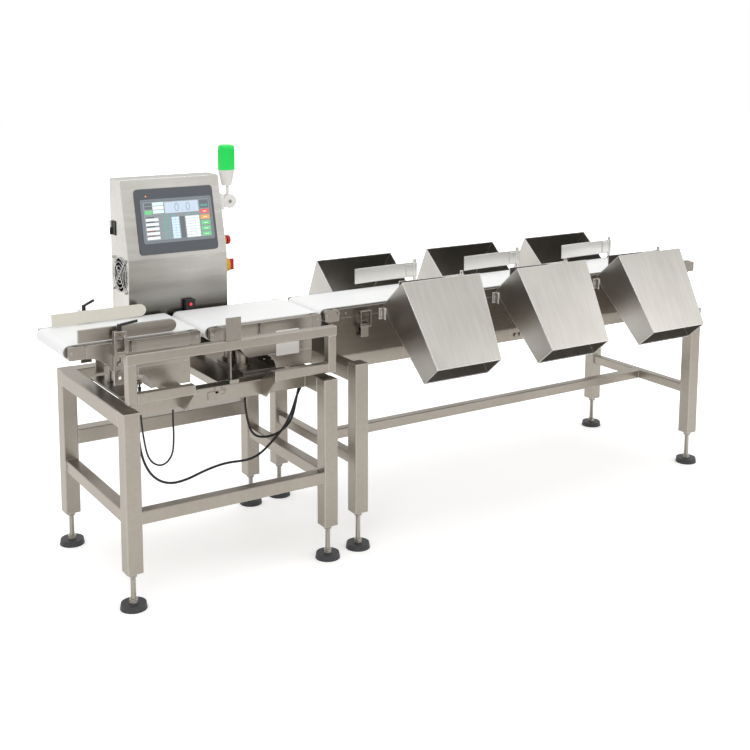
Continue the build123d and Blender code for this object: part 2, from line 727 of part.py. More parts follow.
# Sorter body: two panels, bed, tray floor with end walls, arm bearings and latch plate
with BuildPart() as sorter_body:
    notch_z = block_top - block_h - seam
    for side in (-1, 1):
        y0, y1 = sorted((side * sorter_half, side * (sorter_half - panel_t)))
        sheet_xz([(sorter_stand_x, sorter_beam_top), (body_x1, sorter_beam_top), (body_x1, notch_z),
                  (sorter_p1 - seam, notch_z), (sorter_p1 - seam, plate_top),
                  (sorter_p0 + seam, plate_top), (sorter_p0 + seam, notch_z), (sorter_stand_x, notch_z)],
                 y0, y1)
        groove = sorted((side * (sorter_half + 1), side * (sorter_half - body_line)))
        block(sorter_p0 + 8, sorter_p1 - 8, *groove, body_line_z, body_line_z + 2, mode=Mode.SUBTRACT)
    bed(sorter_p0, sorter_p1, sorter_tail, sorter_head, 0, sorter_belt_w, sorter_half, panel_t)
    inner = sorter_half - panel_t - seam
    block(sorter_stand_x + pan_t + seam, body_x1 - pan_t - seam, -inner, inner, sorter_beam_top, pan_top)
    block(sorter_stand_x, sorter_stand_x + pan_t, -inner, inner, sorter_beam_top, notch_z - 6)
    block(body_x1 - pan_t, body_x1, -inner, inner, sorter_beam_top, notch_z - 40)
    for lane in range(lanes):
        for side, chute_x in ((-1, front_chute_x), (1, rear_chute_x)):
            x = chute_x + mouth_w + post_offset + lane * lane_pitch
            y = side * post_y
            bar_z(x, y, plate_top - bed_t - 1, plate_top + 1, post_r + 2, mode=Mode.SUBTRACT)
            with BuildSketch(Plane.XY.offset(plate_top + seam)) as ring:
                with Locations((x, y)):
                    Circle(collar_r)
                    Circle(post_r + run_fit, mode=Mode.SUBTRACT)
            extrude(ring.sketch, amount=collar_h)
            with BuildSketch(Plane.XY.offset(post_low + 12)) as shelf:
                with Locations((x, side * (inner - 15))):
                    Rectangle(40, 30)
                with Locations((x, y)):
                    Circle(post_r + run_fit, mode=Mode.SUBTRACT)
            extrude(shelf.sketch, amount=6)
    base_y = -sorter_half - seam
    pivot_y = -sorter_half - latch_out
    block(latch_x - latch_w / 2, latch_x + latch_w / 2, base_y - 3, base_y, latch_z - 26, latch_z + 12)
    for ear in (latch_x - latch_w / 2 + 1.5, latch_x + latch_w / 2 - 1.5):
        block(ear - 1.5, ear + 1.5, pivot_y - 4, base_y, latch_z - 6, latch_z + 6)
        bar_x(ear - 2, ear + 2, pivot_y, latch_z, latch_pin_r + run_fit, mode=Mode.SUBTRACT)
    lip_top = latch_z - hook_drop + hook_h - 3 - touch_gap
    block(latch_x - 10, latch_x + 10, base_y - 7, base_y, lip_top - 13, lip_top - 7)
    block(latch_x - 10, latch_x + 10, base_y - 9, base_y - 6, lip_top - 13, lip_top)
sorter_body.part.label = "sorter_body"
export_step(sorter_body.part, "parts/sorter_body.step")

# Latch lever in the plate's ears, and the hook that it lifts off the lip
hook_y, hook_z = pivot_y - hook_out, latch_z - hook_drop
cheek = latch_w / 2 + 1.5
with BuildPart() as sorter_latch_lever:
    inside = latch_w / 2 - 3 - touch_gap
    bar_x(latch_x - latch_w / 2, latch_x + latch_w / 2, pivot_y, latch_z, latch_pin_r)
    block(latch_x - inside, latch_x + inside, pivot_y - 4, pivot_y + 3.5, latch_z - 3.5, latch_z + 3.5)
    block(latch_x - inside, latch_x + inside, pivot_y - 7, pivot_y - 4, latch_z - 42, latch_z + 3.5)
    block(latch_x - inside, latch_x + inside, hook_y - 3, pivot_y - 6, hook_z - 3, hook_z + 3)
    bar_x(latch_x - cheek - 2, latch_x + cheek + 2, hook_y, hook_z, latch_pin_r)
sorter_latch_lever.part.label = "sorter_latch_lever"
export_step(sorter_latch_lever.part, "parts/sorter_latch_lever.step")

with BuildPart() as sorter_latch_hook:
    high = hook_z + hook_h
    nose_y = base_y - 6 + hook_play
    for x in (latch_x - cheek, latch_x + cheek):
        block(x - 1.2, x + 1.2, hook_y - 4, hook_y + 4, hook_z - 4, high)
        bar_x(x - 2, x + 2, hook_y, hook_z, latch_pin_r + run_fit, mode=Mode.SUBTRACT)
    block(latch_x - cheek - 1.2, latch_x + cheek + 1.2, hook_y - 4, nose_y + 1.6, high - 3, high)
    block(latch_x - 9, latch_x + 9, nose_y, nose_y + 1.6, lip_top - 6, high - 2)
sorter_latch_hook.part.label = "sorter_latch_hook"
export_step(sorter_latch_hook.part, "parts/sorter_latch_hook.step")

# Six swing arms
with BuildPart() as arm_front_1:
    arm(0, -1, arm_lift_front, front_chute_x)
arm_front_1.part.label = "arm_front_1"
export_step(arm_front_1.part, "parts/arm_front_1.step")

with BuildPart() as arm_front_2:
    arm(1, -1, arm_lift_front, front_chute_x)
arm_front_2.part.label = "arm_front_2"
export_step(arm_front_2.part, "parts/arm_front_2.step")

with BuildPart() as arm_front_3:
    arm(2, -1, arm_lift_front, front_chute_x)
arm_front_3.part.label = "arm_front_3"
export_step(arm_front_3.part, "parts/arm_front_3.step")

with BuildPart() as arm_rear_1:
    arm(0, 1, arm_lift_rear, rear_chute_x)
arm_rear_1.part.label = "arm_rear_1"
export_step(arm_rear_1.part, "parts/arm_rear_1.step")

with BuildPart() as arm_rear_2:
    arm(1, 1, arm_lift_rear, rear_chute_x)
arm_rear_2.part.label = "arm_rear_2"
export_step(arm_rear_2.part, "parts/arm_rear_2.step")

with BuildPart() as arm_rear_3:
    arm(2, 1, arm_lift_rear, rear_chute_x)
arm_rear_3.part.label = "arm_rear_3"
export_step(arm_rear_3.part, "parts/arm_rear_3.step")

# Chutes
with BuildPart() as chutes_front:
    for lane in range(lanes):
        chute(front_chute_x + lane * lane_pitch, -1)
chutes_front.part.label = "chutes_front"
export_step(chutes_front.part, "parts/chutes_front.step")

with BuildPart() as chutes_rear:
    for lane in range(lanes):
        chute(rear_chute_x + lane * lane_pitch, 1)
chutes_rear.part.label = "chutes_rear"
export_step(chutes_rear.part, "parts/chutes_rear.step")

# Stands
x0, x1 = weigh_stand_x, weigh_stand_x1
y0, y1 = weigh_stand_front, weigh_stand_back
beam_z = weigh_stand_top - tube
weigh_legs = [(x0, y0), (x1 - tube, y0), (x0, y1 - tube), (x1 - tube, y1 - tube)]
with BuildPart() as weigh_stand:
    for x, y in weigh_legs:
        leg(x, y, weigh_leg_low, weigh_stand_top)
    for x in (x0, x1 - tube):
        tube_y(x, y0 + tube, y1 - tube, beam_z, tube)
        tube_y(x + (tube - brace) / 2, y0 + tube, y1 - tube, brace_z, brace)
    tube_x(x0 + tube, x1 - tube, front_beam_y, beam_z, tube)
    tube_x(x0 + tube, x1 - tube, y1 - tube, beam_z, tube)
    tube_x(x0 + tube, x1 - tube, y1 - tube, rear_low_beam_z, tube)
    tube_x(x0 + tube, x1 - tube, y0 + (tube - brace) / 2, brace_z, brace)
weigh_stand.part.label = "weigh_stand"
export_step(weigh_stand.part, "parts/weigh_stand.step")

x0, x1 = sorter_stand_x, sorter_stand_x1
y1 = sorter_stand_y
sorter_beam_z = sorter_beam_top - tube
sorter_legs = [(x, y) for x in (x0, x1 - tube) for y in (-y1, y1 - tube)]
with BuildPart() as sorter_stand:
    for x, y in sorter_legs:
        leg(x, y, sorter_leg_low, sorter_leg_top)
    for x in (x0, x1 - tube):
        tube_y(x, -y1 + tube, y1 - tube, sorter_beam_z, tube)
        tube_y(x + (tube - h_brace) / 2, -y1 + tube, y1 - tube, h_brace_z, h_brace)
    stations = (x0 + tube, x0 + sorter_splice_1, x0 + sorter_splice_2, x1 - tube)
    for a, b in zip(stations, stations[1:]):
        for y in (-sorter_beam_y, sorter_beam_y - tube):
            tube_x(a, b, y, sorter_beam_z, tube)
    tube_x(x0 + (tube + h_brace) / 2, x1 - (tube + h_brace) / 2, -h_brace / 2, h_brace_z, h_brace)
sorter_stand.part.label = "sorter_stand"
export_step(sorter_stand.part, "parts/sorter_stand.step")

with BuildPart() as weigh_feet:
    for x, y in weigh_legs:
        foot(x + tube / 2, y + tube / 2, weigh_leg_low)
weigh_feet.part.label = "weigh_feet"
export_step(weigh_feet.part, "parts/weigh_feet.step")

with BuildPart() as sorter_feet:
    for x, y in sorter_legs:
        foot(x + tube / 2, y + tube / 2, sorter_leg_low)
sorter_feet.part.label = "sorter_feet"
export_step(sorter_feet.part, "parts/sorter_feet.step")

# Guard and the two gussets that carry it
cap_t = 2.0
with BuildPart() as guard_frame:
    top_z = guard_top - guard_tube
    tube_x(guard_x0, guard_x1, guard_y, top_z, guard_tube)
    for x in (guard_x0, guard_x1 - guard_tube):
        tube_z(x, guard_y, guard_low, top_z - seam, guard_tube)
    for x in (guard_x0, guard_x1 - cap_t):
        block(x, x + cap_t, guard_y, guard_y + guard_tube, top_z, guard_top)
    tube_x(guard_x0 + guard_tube, guard_left_end, guard_y, guard_low, guard_tube)
    tube_x(guard_right_end, guard_x1 - guard_tube, guard_y, guard_low, guard_tube)
    back = front_beam_y - seam
    for x in (guard_left_end, guard_right_end - gusset_t):
        sheet_yz([(guard_y, guard_low), (guard_y, guard_low + guard_tube),
                  (guard_y + guard_tube, guard_low + guard_tube), (back, weigh_stand_top),
                  (back, beam_z), (back - 30, beam_z)], x, x + gusset_t)
guard_frame.part.label = "guard_frame"
export_step(guard_frame.part, "parts/guard_frame.step")

# Weigh cell: two cross bars, housing, two columns with their flanges
cell_l = 123.0
cell_x0 = load_x0 + 8
cell_x1 = cell_x0 + cell_l
cell_front, cell_back = 105.0, 90.0
cross_left, cross_right = 100.0, 37.0   # widths of the two cross plates
cell_low = 575.0
cell_top = 611.0
column_x = load_x0 + 33.5
column_r = 19.5
column_pitch = 90.0
with BuildPart() as load_cell:
    inner_front, inner_back = front_beam_y + tube + seam, weigh_stand_back - tube - seam
    for x0, x1 in ((cell_x0 - cross_left, cell_x0), (cell_x1, cell_x1 + cross_right)):
        block(x0, x1, inner_front, inner_back, weigh_stand_top - 25, weigh_stand_top)
    block(cell_x0 + seam, cell_x1 - seam, weigh_y - cell_front, weigh_y + cell_back, cell_low, cell_top)
    for groove in (0.35, 0.65):
        z = cell_low + groove * (cell_top - cell_low)
        block(cell_x0, cell_x1, weigh_y - cell_front - 1, weigh_y - cell_front + 3, z - 2, z + 2,
              mode=Mode.SUBTRACT)
    for y in (weigh_y - column_pitch / 2, weigh_y + column_pitch / 2):
        bar_z(column_x, y, cell_top + seam, cell_top + 12, column_r + 6)
        bar_z(column_x, y, cell_top + 12, weigh_plate_low - seam, column_r)
load_cell.part.label = "load_cell"
export_step(load_cell.part, "parts/load_cell.step")

# Brackets under the infeed conveyor, and the straps that carry the guide rails
cross_x = infeed_cover_x + 81
cross_w = 50.0
with BuildPart() as infeed_brackets:
    foot_x = weigh_stand_x + 50
    for y0, outer in ((plate_front + plate_t + seam, -1), (plate_back - plate_t - 4 - seam, 1)):
        block(foot_x + 26, foot_x + 54, y0, y0 + 4, weigh_stand_top + 5 + seam, infeed_plate_low + 30)
    block(foot_x, foot_x + 68, plate_front + 8, plate_back - 30, weigh_stand_top, weigh_stand_top + 5)
    block(cross_x, cross_x + cross_w, front_beam_y, weigh_stand_back, weigh_stand_top, cover_low - seam)
    for y, side in ((plate_front, -1), (plate_back, 1)):
        face_y = y + side * seam
        strap = sorted((face_y, face_y + side * strap_t))
        block(clamp_x - clamp_w / 2 + 1, clamp_x + clamp_w / 2 - 1, *strap, strap_low, clamp_low - seam)
        for z in (strap_low + 28, strap_low + 72):
            with BuildSketch(Plane.XZ.offset(-strap[1] - 1)) as slot:
                with Locations(Location((clamp_x, z), 90)):
                    SlotOverall(26, 8)
            extrude(slot.sketch, amount=strap_t + 2, mode=Mode.SUBTRACT)
        ys = sorted((face_y, face_y + side * clamp_t))
        block(clamp_x - clamp_w / 2, clamp_x + clamp_w / 2, *ys, clamp_low, clamp_top)
        block(clamp_x - clamp_w / 2 + 7, clamp_x + clamp_w / 2 - 7, ys[0] - 1, ys[1] + 1,
              clamp_low + 12, rail_z - rail_rod_r - 8, mode=Mode.SUBTRACT)
        bar_y(clamp_x, ys[0] - 1, ys[1] + 1, rail_z, rail_rod_r + run_fit, mode=Mode.SUBTRACT)
        bar_z(clamp_x, (ys[0] + ys[1]) / 2, clamp_top - 1, clamp_top + lever_hub_h + 1, lever_pin_r)
infeed_brackets.part.label = "infeed_brackets"
export_step(infeed_brackets.part, "parts/infeed_brackets.step")


def guide_rail(face_y, side):
    """A guide rail with its round end and the rod that slides in its clamp."""
    y0, y1 = sorted((face_y, face_y + side * rail_t))
    low = rail_z - rail_h / 2
    with BuildSketch(Plane.XZ.offset(-y1)) as face:
        with Locations((rail_x0 + rail_l - rail_h / 2, rail_z)):
            Circle(rail_h / 2)
        with Locations((rail_x0 + (rail_l - rail_h / 2) / 2, low + rail_h / 2)):
            Rectangle(rail_l - rail_h / 2, rail_h)
    extrude(face.sketch, amount=rail_t)
    clamp = (front_clamp_y if side < 0 else rear_clamp_y) + side * clamp_t / 2
    bar_y(clamp_x, *sorted((face_y + side * rail_t / 2, clamp + side * (rail_travel + 4))),
          rail_z, rail_rod_r)


with BuildPart() as guide_rail_front:
    guide_rail(weigh_y - weigh_belt_w / 2, -1)
guide_rail_front.part.label = "guide_rail_front"
export_step(guide_rail_front.part, "parts/guide_rail_front.step")

with BuildPart() as guide_rail_rear:
    guide_rail(weigh_y + weigh_belt_w / 2 - rail_inset - rail_t, 1)
guide_rail_rear.part.label = "guide_rail_rear"
export_step(guide_rail_rear.part, "parts/guide_rail_rear.step")


def clamp_lever(y, turned):
    """A clamping lever: hub over its pin, and a handle that rises to its tip."""
    z = clamp_top + touch_gap
    ahead = (cos(radians(turned)), sin(radians(turned)), 0)
    with BuildSketch(Plane(origin=(clamp_x, y, 0), x_dir=ahead, z_dir=(ahead[1], -ahead[0], 0))) as face:
        with BuildLine():
            Polyline((0, z + lever_low), (lever_l, z + lever_low + lever_rise),
                     (lever_l, z + lever_hub_h + lever_rise), (0, z + lever_hub_h), close=True)
        make_face()
    extrude(face.sketch, amount=3.5, both=True)
    bar_z(clamp_x, y, z, z + lever_hub_h, lever_hub_r)
    bar_z(clamp_x, y, z - 1, z + lever_hub_h + 1, lever_pin_r + run_fit, mode=Mode.SUBTRACT)


with BuildPart() as clamp_lever_front:
    clamp_lever(front_clamp_y - seam, 0)
clamp_lever_front.part.label = "clamp_lever_front"
export_step(clamp_lever_front.part, "parts/clamp_lever_front.step")

with BuildPart() as clamp_lever_rear:
    clamp_lever(rear_clamp_y + seam, rear_lever_turned)
clamp_lever_rear.part.label = "clamp_lever_rear"
export_step(clamp_lever_rear.part, "parts/clamp_lever_rear.step")

# Cabinet: folded shell with the fan duct, open at the back where the door closes it
duct_t = 4.0
strut = 5.0
with BuildPart() as cabinet_shell:
    outline = [(cab_front, cab_low), (shell_back, cab_low), (shell_back, cab_top),
               (cab_front + cab_lean, cab_top), (cab_front, cab_knee_z)]
    with BuildSketch(Plane.YZ.offset(cab_x0)) as side_face:
        with BuildLine():
            Polyline(*outline, close=True)
        make_face()
    extrude(side_face.sketch, amount=cab_w)
    with BuildSketch(Plane.YZ.offset(cab_x0 + cab_t)) as inside_face:
        with BuildLine():
            Polyline(*outline, close=True)
        make_face()
        offset(amount=-cab_t, kind=Kind.INTERSECTION)
    extrude(inside_face.sketch, amount=cab_w - 2 * cab_t, mode=Mode.SUBTRACT)
    block(cab_x0 + 14, cab_x1 - 14, shell_back - cab_t - 1, shell_back + 1, cab_low + 14, cab_top - 14,
          mode=Mode.SUBTRACT)
    bar_x(cab_x0 - 1, cab_x0 + cab_t + 1, fan_y, fan_z, fan_r + 2, mode=Mode.SUBTRACT)
    inner_x = cab_x0 + cab_t
    with BuildSketch(Plane.YZ.offset(inner_x - 0.5)) as duct:
        with Locations((fan_y, fan_z)):
            Circle(fan_r + 2 + duct_t)
            Circle(fan_r + 2, mode=Mode.SUBTRACT)
    extrude(duct.sketch, amount=fan_depth + 0.5)
    strut_x = inner_x + fan_depth - strut
    with BuildSketch(Plane.YZ.offset(strut_x)) as struts:
        with Locations((fan_y, fan_z)):
            Circle(fan_hub_r - 2)
        for turn in (30, 150, 270):
            with Locations(Location((fan_y, fan_z), turn) * Location((fan_r / 2 + 1, 0))):
                Rectangle(fan_r + 4, strut)
        with Locations((fan_y, fan_z)):
            Circle(lever_pin_r + run_fit, mode=Mode.SUBTRACT)
    extrude(struts.sketch, amount=strut)
cabinet_shell.part.label = "cabinet_shell"
export_step(cabinet_shell.part, "parts/cabinet_shell.step")

with BuildPart() as fan_rotor:
    rotor_x0, rotor_x1 = cab_x0 + cab_t, strut_x - touch_gap
    bar_x(rotor_x0, rotor_x1, fan_y, fan_z, fan_hub_r)
    bar_x(rotor_x1 - 1, rotor_x1 + strut, fan_y, fan_z, lever_pin_r)
    blade_r = fan_r - fan_hub_r
    with Locations(Location(((rotor_x0 + rotor_x1) / 2, fan_y, fan_z), (0, 90, 0))):
        with PolarLocations((fan_r + fan_hub_r - 4) / 2, fan_blades):
            Box(blade_r + 4, 22, 2, rotation=(32, 0, 0))
fan_rotor.part.label = "fan_rotor"
export_step(fan_rotor.part, "parts/fan_rotor.step")

with BuildPart() as fan_guard:
    guard_x = cab_x0 - 4
    for ring in (0.3, 0.55, 0.8, 1.05):
        with Locations(Location((guard_x, fan_y, fan_z), (0, 90, 0))):
            Torus(fan_r * ring, wire_r)
    reach = fan_size / 2 - 7.5
    for turn in (45, -45):
        with Locations(Location((guard_x, fan_y, fan_z), (turn, 0, 0))):
            Cylinder(wire_r + 0.4, 2 * reach * 2 ** 0.5)
    for y in (fan_y - reach, fan_y + reach):
        for z in (fan_z - reach, fan_z + reach):
            bar_x(guard_x - 2, cab_x0 - seam, y, z, 4.2)
fan_guard.part.label = "fan_guard"
export_step(fan_guard.part, "parts/fan_guard.step")

hinge_x = cab_x0 - hinge_out
hinge_y = shell_back + door_gap / 2
with BuildPart() as cabinet_door:
    door_front = shell_back + door_gap
    block(cab_x0, cab_x1, door_front, cab_back, cab_low, cab_top)
    block(cab_x0 + 2.5, cab_x1 - 2.5, door_front - 1, cab_back - 2.5, cab_low + 2.5, cab_top - 2.5,
          mode=Mode.SUBTRACT)
    for z in (hinge_z_low, hinge_z_high):
        mid, top = z + hinge_h / 2 + touch_gap, z + hinge_h
        block(hinge_x, cab_x0 + 1, door_front + 1, door_front + 9, mid, top)
        bar_z(hinge_x, hinge_y, mid, top, hinge_r)
        block(hinge_x - 3, hinge_x + 2, hinge_y, door_front + 9, mid, top)
        bar_z(hinge_x, hinge_y, mid - 1, top + 1, pin_r + run_fit, mode=Mode.SUBTRACT)
cabinet_door.part.label = "cabinet_door"
export_step(cabinet_door.part, "parts/cabinet_door.step")

with BuildPart() as door_hinges:
    for z in (hinge_z_low, hinge_z_high):
        mid, top = z + hinge_h / 2, z + hinge_h
        leaf_y = hinge_y - hinge_r - 0.5
        block(cab_x0 - 3 - seam, cab_x0 - seam, shell_back - 30, leaf_y, z, top)
        block(hinge_x, cab_x0 - seam, leaf_y - 1, hinge_y - 1, z, mid)
        bar_z(hinge_x, hinge_y, z, mid, hinge_r)
        bar_z(hinge_x, hinge_y, mid - 1, top, pin_r)
door_hinges.part.label = "door_hinges"
export_step(door_hinges.part, "parts/door_hinges.step")

support_in_left, support_in_right = 75.0, 60.0
with BuildPart() as cabinet_supports:
    for x in (cab_x0 + support_in_left, cab_x1 - support_in_right):
        block(x - 20, x + 20, weigh_stand_back - tube, weigh_stand_back - seam, weigh_stand_top, cab_low)
        block(x - 20, x + 20, cab_front + 15, weigh_stand_back - tube + 1, cab_low - 20, cab_low)
cabinet_supports.part.label = "cabinet_supports"
export_step(cabinet_supports.part, "parts/cabinet_supports.step")

# Operator terminal on the sloping face
panel_x = (cab_x0 + cab_x1) / 2 + 7
panel_v = cab_slope - 33.5 - bezel_h / 2
with BuildPart() as hmi_bezel:
    with BuildSketch(on_slope(panel_x, panel_v, 0)) as face:
        RectangleRounded(bezel_w, bezel_h, bezel_round)
    extrude(face.sketch, amount=bezel_t)
    chamfer(hmi_bezel.faces().sort_by(Axis((0, 0, 0), (0, -1, 0.2)))[-1].edges(), 1.5)
    with BuildSketch(on_slope(panel_x + screen_right, panel_v, bezel_t - screen_t)) as window:
        Rectangle(screen_w + 2 * seam, screen_h + 2 * seam)
    extrude(window.sketch, amount=bezel_t, mode=Mode.SUBTRACT)
hmi_bezel.part.label = "hmi_bezel"
export_step(hmi_bezel.part, "parts/hmi_bezel.step")

with BuildPart() as hmi_screen:
    with BuildSketch(on_slope(panel_x + screen_right, panel_v, bezel_t - screen_t)) as face:
        Rectangle(screen_w, screen_h)
    extrude(face.sketch, amount=screen_t - 0.4)
hmi_screen.part.label = "hmi_screen"
export_step(hmi_screen.part, "parts/hmi_screen.step")

# Controls on the cabinet's right side
collar_t = 8.0
plate_thick = 3.0
stem_r = 8.0
with BuildPart() as control_plates:
    x = cab_x1 + seam
    bar_x(x, x + collar_t, estop_y, estop_z, estop_r - 3)
    bar_x(x + 1, x + collar_t + 1, estop_y, estop_z, stem_r + run_fit, mode=Mode.SUBTRACT)
    with BuildSketch(Plane.YZ.offset(x)) as plate:
        with Locations((switch_y, switch_z)):
            RectangleRounded(switch_plate, switch_plate, 4)
            Circle(stem_r + run_fit, mode=Mode.SUBTRACT)
    extrude(plate.sketch, amount=plate_thick)
    with BuildSketch(Plane.YZ.offset(x + plate_thick)) as dome:
        with Locations((switch_y, switch_z)):
            Circle(switch_r)
            Circle(stem_r + run_fit, mode=Mode.SUBTRACT)
    extrude(dome.sketch, amount=switch_dome)
control_plates.part.label = "control_plates"
export_step(control_plates.part, "parts/control_plates.step")

with BuildPart() as estop_button:
    x0 = cab_x1 + seam + collar_t + estop_press + touch_gap
    bar_x(x0, x0 + estop_h, estop_y, estop_z, estop_r)
    fillet(estop_button.edges().filter_by(GeomType.CIRCLE).sort_by(Axis.X)[-1], 5)
    bar_x(x0 - collar_t + 1, x0 + 1, estop_y, estop_z, stem_r)
estop_button.part.label = "estop_button"
export_step(estop_button.part, "parts/estop_button.step")

with BuildPart() as main_switch_knob:
    x0 = cab_x1 + seam + plate_thick + switch_dome + touch_gap
    bar_x(x0 - switch_dome, x0 + 1, switch_y, switch_z, stem_r)
    bar_x(x0, x0 + 6, switch_y, switch_z, switch_r - 3)
    block(x0 + 5, x0 + 21, switch_y - 5, switch_y + 5, switch_z - switch_r + 4, switch_z + switch_r - 4)
main_switch_knob.part.label = "main_switch_knob"
export_step(main_switch_knob.part, "parts/main_switch_knob.step")

with BuildPart() as beacon_mount:
    x = cab_x1 + seam
    wall_t = beacon_x - beacon_hub_r - 2 - x
    block(x, x + wall_t, beacon_y - 20, beacon_y + 20, beacon_z - 26, beacon_z + 26)
    block(x + wall_t - 1, beacon_x, beacon_y + touch_gap, beacon_y + beacon_disc_t,
          beacon_z - 14, beacon_z + 14)
    bar_y(beacon_x, beacon_y + touch_gap, beacon_y + beacon_disc_t, beacon_z, beacon_hub_r)
    bar_y(beacon_x, beacon_y - beacon_disc_t, beacon_y + 1, beacon_z, lever_pin_r)
beacon_mount.part.label = "beacon_mount"
export_step(beacon_mount.part, "parts/beacon_mount.step")

neck_x = beacon_x - 6
with BuildPart() as beacon_arm:
    bar_y(beacon_x, beacon_y - beacon_disc_t, beacon_y, beacon_z, beacon_hub_r)
    bar_y(beacon_x, beacon_y - beacon_disc_t - 1, beacon_y + 1, beacon_z, lever_pin_r + run_fit,
          mode=Mode.SUBTRACT)
    bar_z(neck_x, beacon_y - beacon_disc_t / 2, beacon_z + beacon_hub_r - 8, beacon_z + 56, 5.5)
    cup_z = beacon_z + 54
    cup_h = lens_z - 6 - cup_z
    with Locations((neck_x, beacon_y, cup_z + cup_h / 2)):
        Cone(lens_r - 13, lens_r - 2, cup_h)
    bar_z(neck_x, beacon_y, lens_z - 7, lens_z, lens_r - 2)
beacon_arm.part.label = "beacon_arm"
export_step(beacon_arm.part, "parts/beacon_arm.step")

with BuildPart() as beacon_lens:
    bar_z(neck_x, beacon_y, lens_z, lens_z + lens_h, lens_r)
    fillet(beacon_lens.edges().filter_by(GeomType.CIRCLE).sort_by(Axis.Z)[-1], 7)
beacon_lens.part.label = "beacon_lens"
export_step(beacon_lens.part, "parts/beacon_lens.step")

# Light barrier: sensor at the rear, reflector on the guard, rod on the front beam
with BuildPart() as photo_sensor:
    x0, z0 = weigh_x0 + 52, plate_top + 2
    block(x0, x0 + 34, cab_front - 20, cab_front - 3, z0, z0 + 35)
    block(x0 + 5, x0 + 29, cab_front - 4, cab_front - seam, z0 + 4, z0 + 33)
    bar_y(x0 + 17, cab_front - 22, cab_front - 19, z0 + 20, 7)
photo_sensor.part.label = "photo_sensor"
export_step(photo_sensor.part, "parts/photo_sensor.step")

reflector_w = 50.0
reflector_h = 71.0
rod_room = 6.0          # reflector to the rod's clamp
rod_clamp_w = 32.0
with BuildPart() as reflector:
    x0 = weigh_x0 + 6
    y0 = guard_y + 3
    block(x0, x0 + reflector_w, y0, y0 + 3, guard_top, guard_top + reflector_h)
    block(x0, x0 + reflector_w, y0, y0 + 20, guard_top, guard_top + 3)
    clamp_y = front_beam_y + 12
    rod_x0 = x0 + reflector_w + rod_room
    block(rod_x0, rod_x0 + rod_clamp_w, clamp_y - 10, clamp_y + 12, weigh_stand_top, weigh_stand_top + 12)
    bar_z(rod_x0 + 9, clamp_y, weigh_stand_top + 6, guard_top - 12, 3)
reflector.part.label = "reflector"
export_step(reflector.part, "parts/reflector.step")

# Nuts, bolt heads, tension screws and the two belt clips
with BuildPart() as fasteners:
    for corners, low in ((weigh_legs, weigh_leg_low), (sorter_legs, sorter_leg_low)):
        for x, y in corners:
            hex_nut(x + tube / 2, y + tube / 2, low - nut_h - seam, rod_r + run_fit)
    for y, side in ((plate_front, -1), (plate_back, 1)):
        for z in (strap_low + 36, strap_low + 63):
            hex_head(clamp_x, y + side * (strap_t + 2 * seam), z, (0, side, 0))
    splice_1, splice_2 = sorter_stand_x + sorter_splice_1, sorter_stand_x + sorter_splice_2
    for x in (splice_1 + 31, splice_2 + 24, splice_2 + 47):
        hex_head(x, -sorter_beam_y - seam, sorter_beam_top - 29, (0, -1, 0))
        hex_head(x, sorter_beam_y + seam, sorter_beam_top - 29, (0, 1, 0))
    adjust = (weigh_stand_x + 84, weigh_y + 32)
    bar_z(*adjust, weigh_stand_top + 5 + seam, infeed_plate_low - 4, 6)
    hex_head(*adjust, weigh_stand_top + 5 + seam, (0, 0, 1), size=20)
    for x, y, side in ((weigh_p0 - 18, plate_front, -1), (sorter_p0 - 4, -sorter_half, -1)):
        hex_head(x, y + side * seam, block_z + 6, (0, side, 0), size=9, height=3)
    for x in (infeed_tail + 188, weigh_tail + 168):
        y = plate_front - seam
        block(x - 12, x + 12, y - 3, y, plate_top - 38, plate_top - 8)
        block(x - 8, x + 8, y - 9, y - 3, plate_top - 34, plate_top - 26)
        block(x - 8, x + 8, y - 7, y - 4, plate_top - 34, plate_top - 2)
    for x, y, top in ((main_cord_x, main_cord_y, cover_low), (loop_x0, loop_y, cover_low),
                      (loop_x1, loop_y, cover_low), (cell_cord_x, cell_cord_y, cell_low),
                      (cord_end_x, main_end_y, sorter_beam_top), (cord_end_x, cell_end_y, sorter_beam_top)):
        bar_z(x, y, top - gland_h, top, gland_r)
fasteners.part.label = "fasteners"
export_step(fasteners.part, "parts/fasteners.step")

# Cords, from gland to gland
main_top = cover_low - gland_h
cell_top_z = cell_low - gland_h
floor_z = sorter_beam_top - gland_h
with BuildPart() as main_cord:
    x0, y0, x1, y1 = main_cord_x, main_cord_y, cord_end_x, main_end_y
    cord("main_cord", [
        (x0, y0, main_top), (x0, y0, main_top - 97), (x0 + 3, y0, main_top - 190),
        (x0 + 14, y0, main_top - 270), (x0 + 46, y0 + 2, main_top - 335),
        (x0 + 100, y0 + 4, main_top - 372), (x0 + 165, y0 + 6, main_top - 372),
        (x0 + 236, y0 + 8, main_top - 352), (x0 + 312, y0 + 10, main_top - 341),
        (x0 + 392, y0 + 12, main_top - 349), (x1 - 250, y1 - 2, main_top - 338),
        (x1 - 202, y1 - 1, main_top - 302), (x1 - 152, y1, main_top - 258),
        (x1 - 122, y1, floor_z - 205), (x1 - 100, y1, floor_z - 140), (x1 - 62, y1, floor_z - 90),
        (x1, y1, floor_z - 52), (x1, y1, floor_z)], cord_r)
print("main_cord volume", round(main_cord.part.volume))
main_cord.part.label = "main_cord"
export_step(main_cord.part, "parts/main_cord.step")

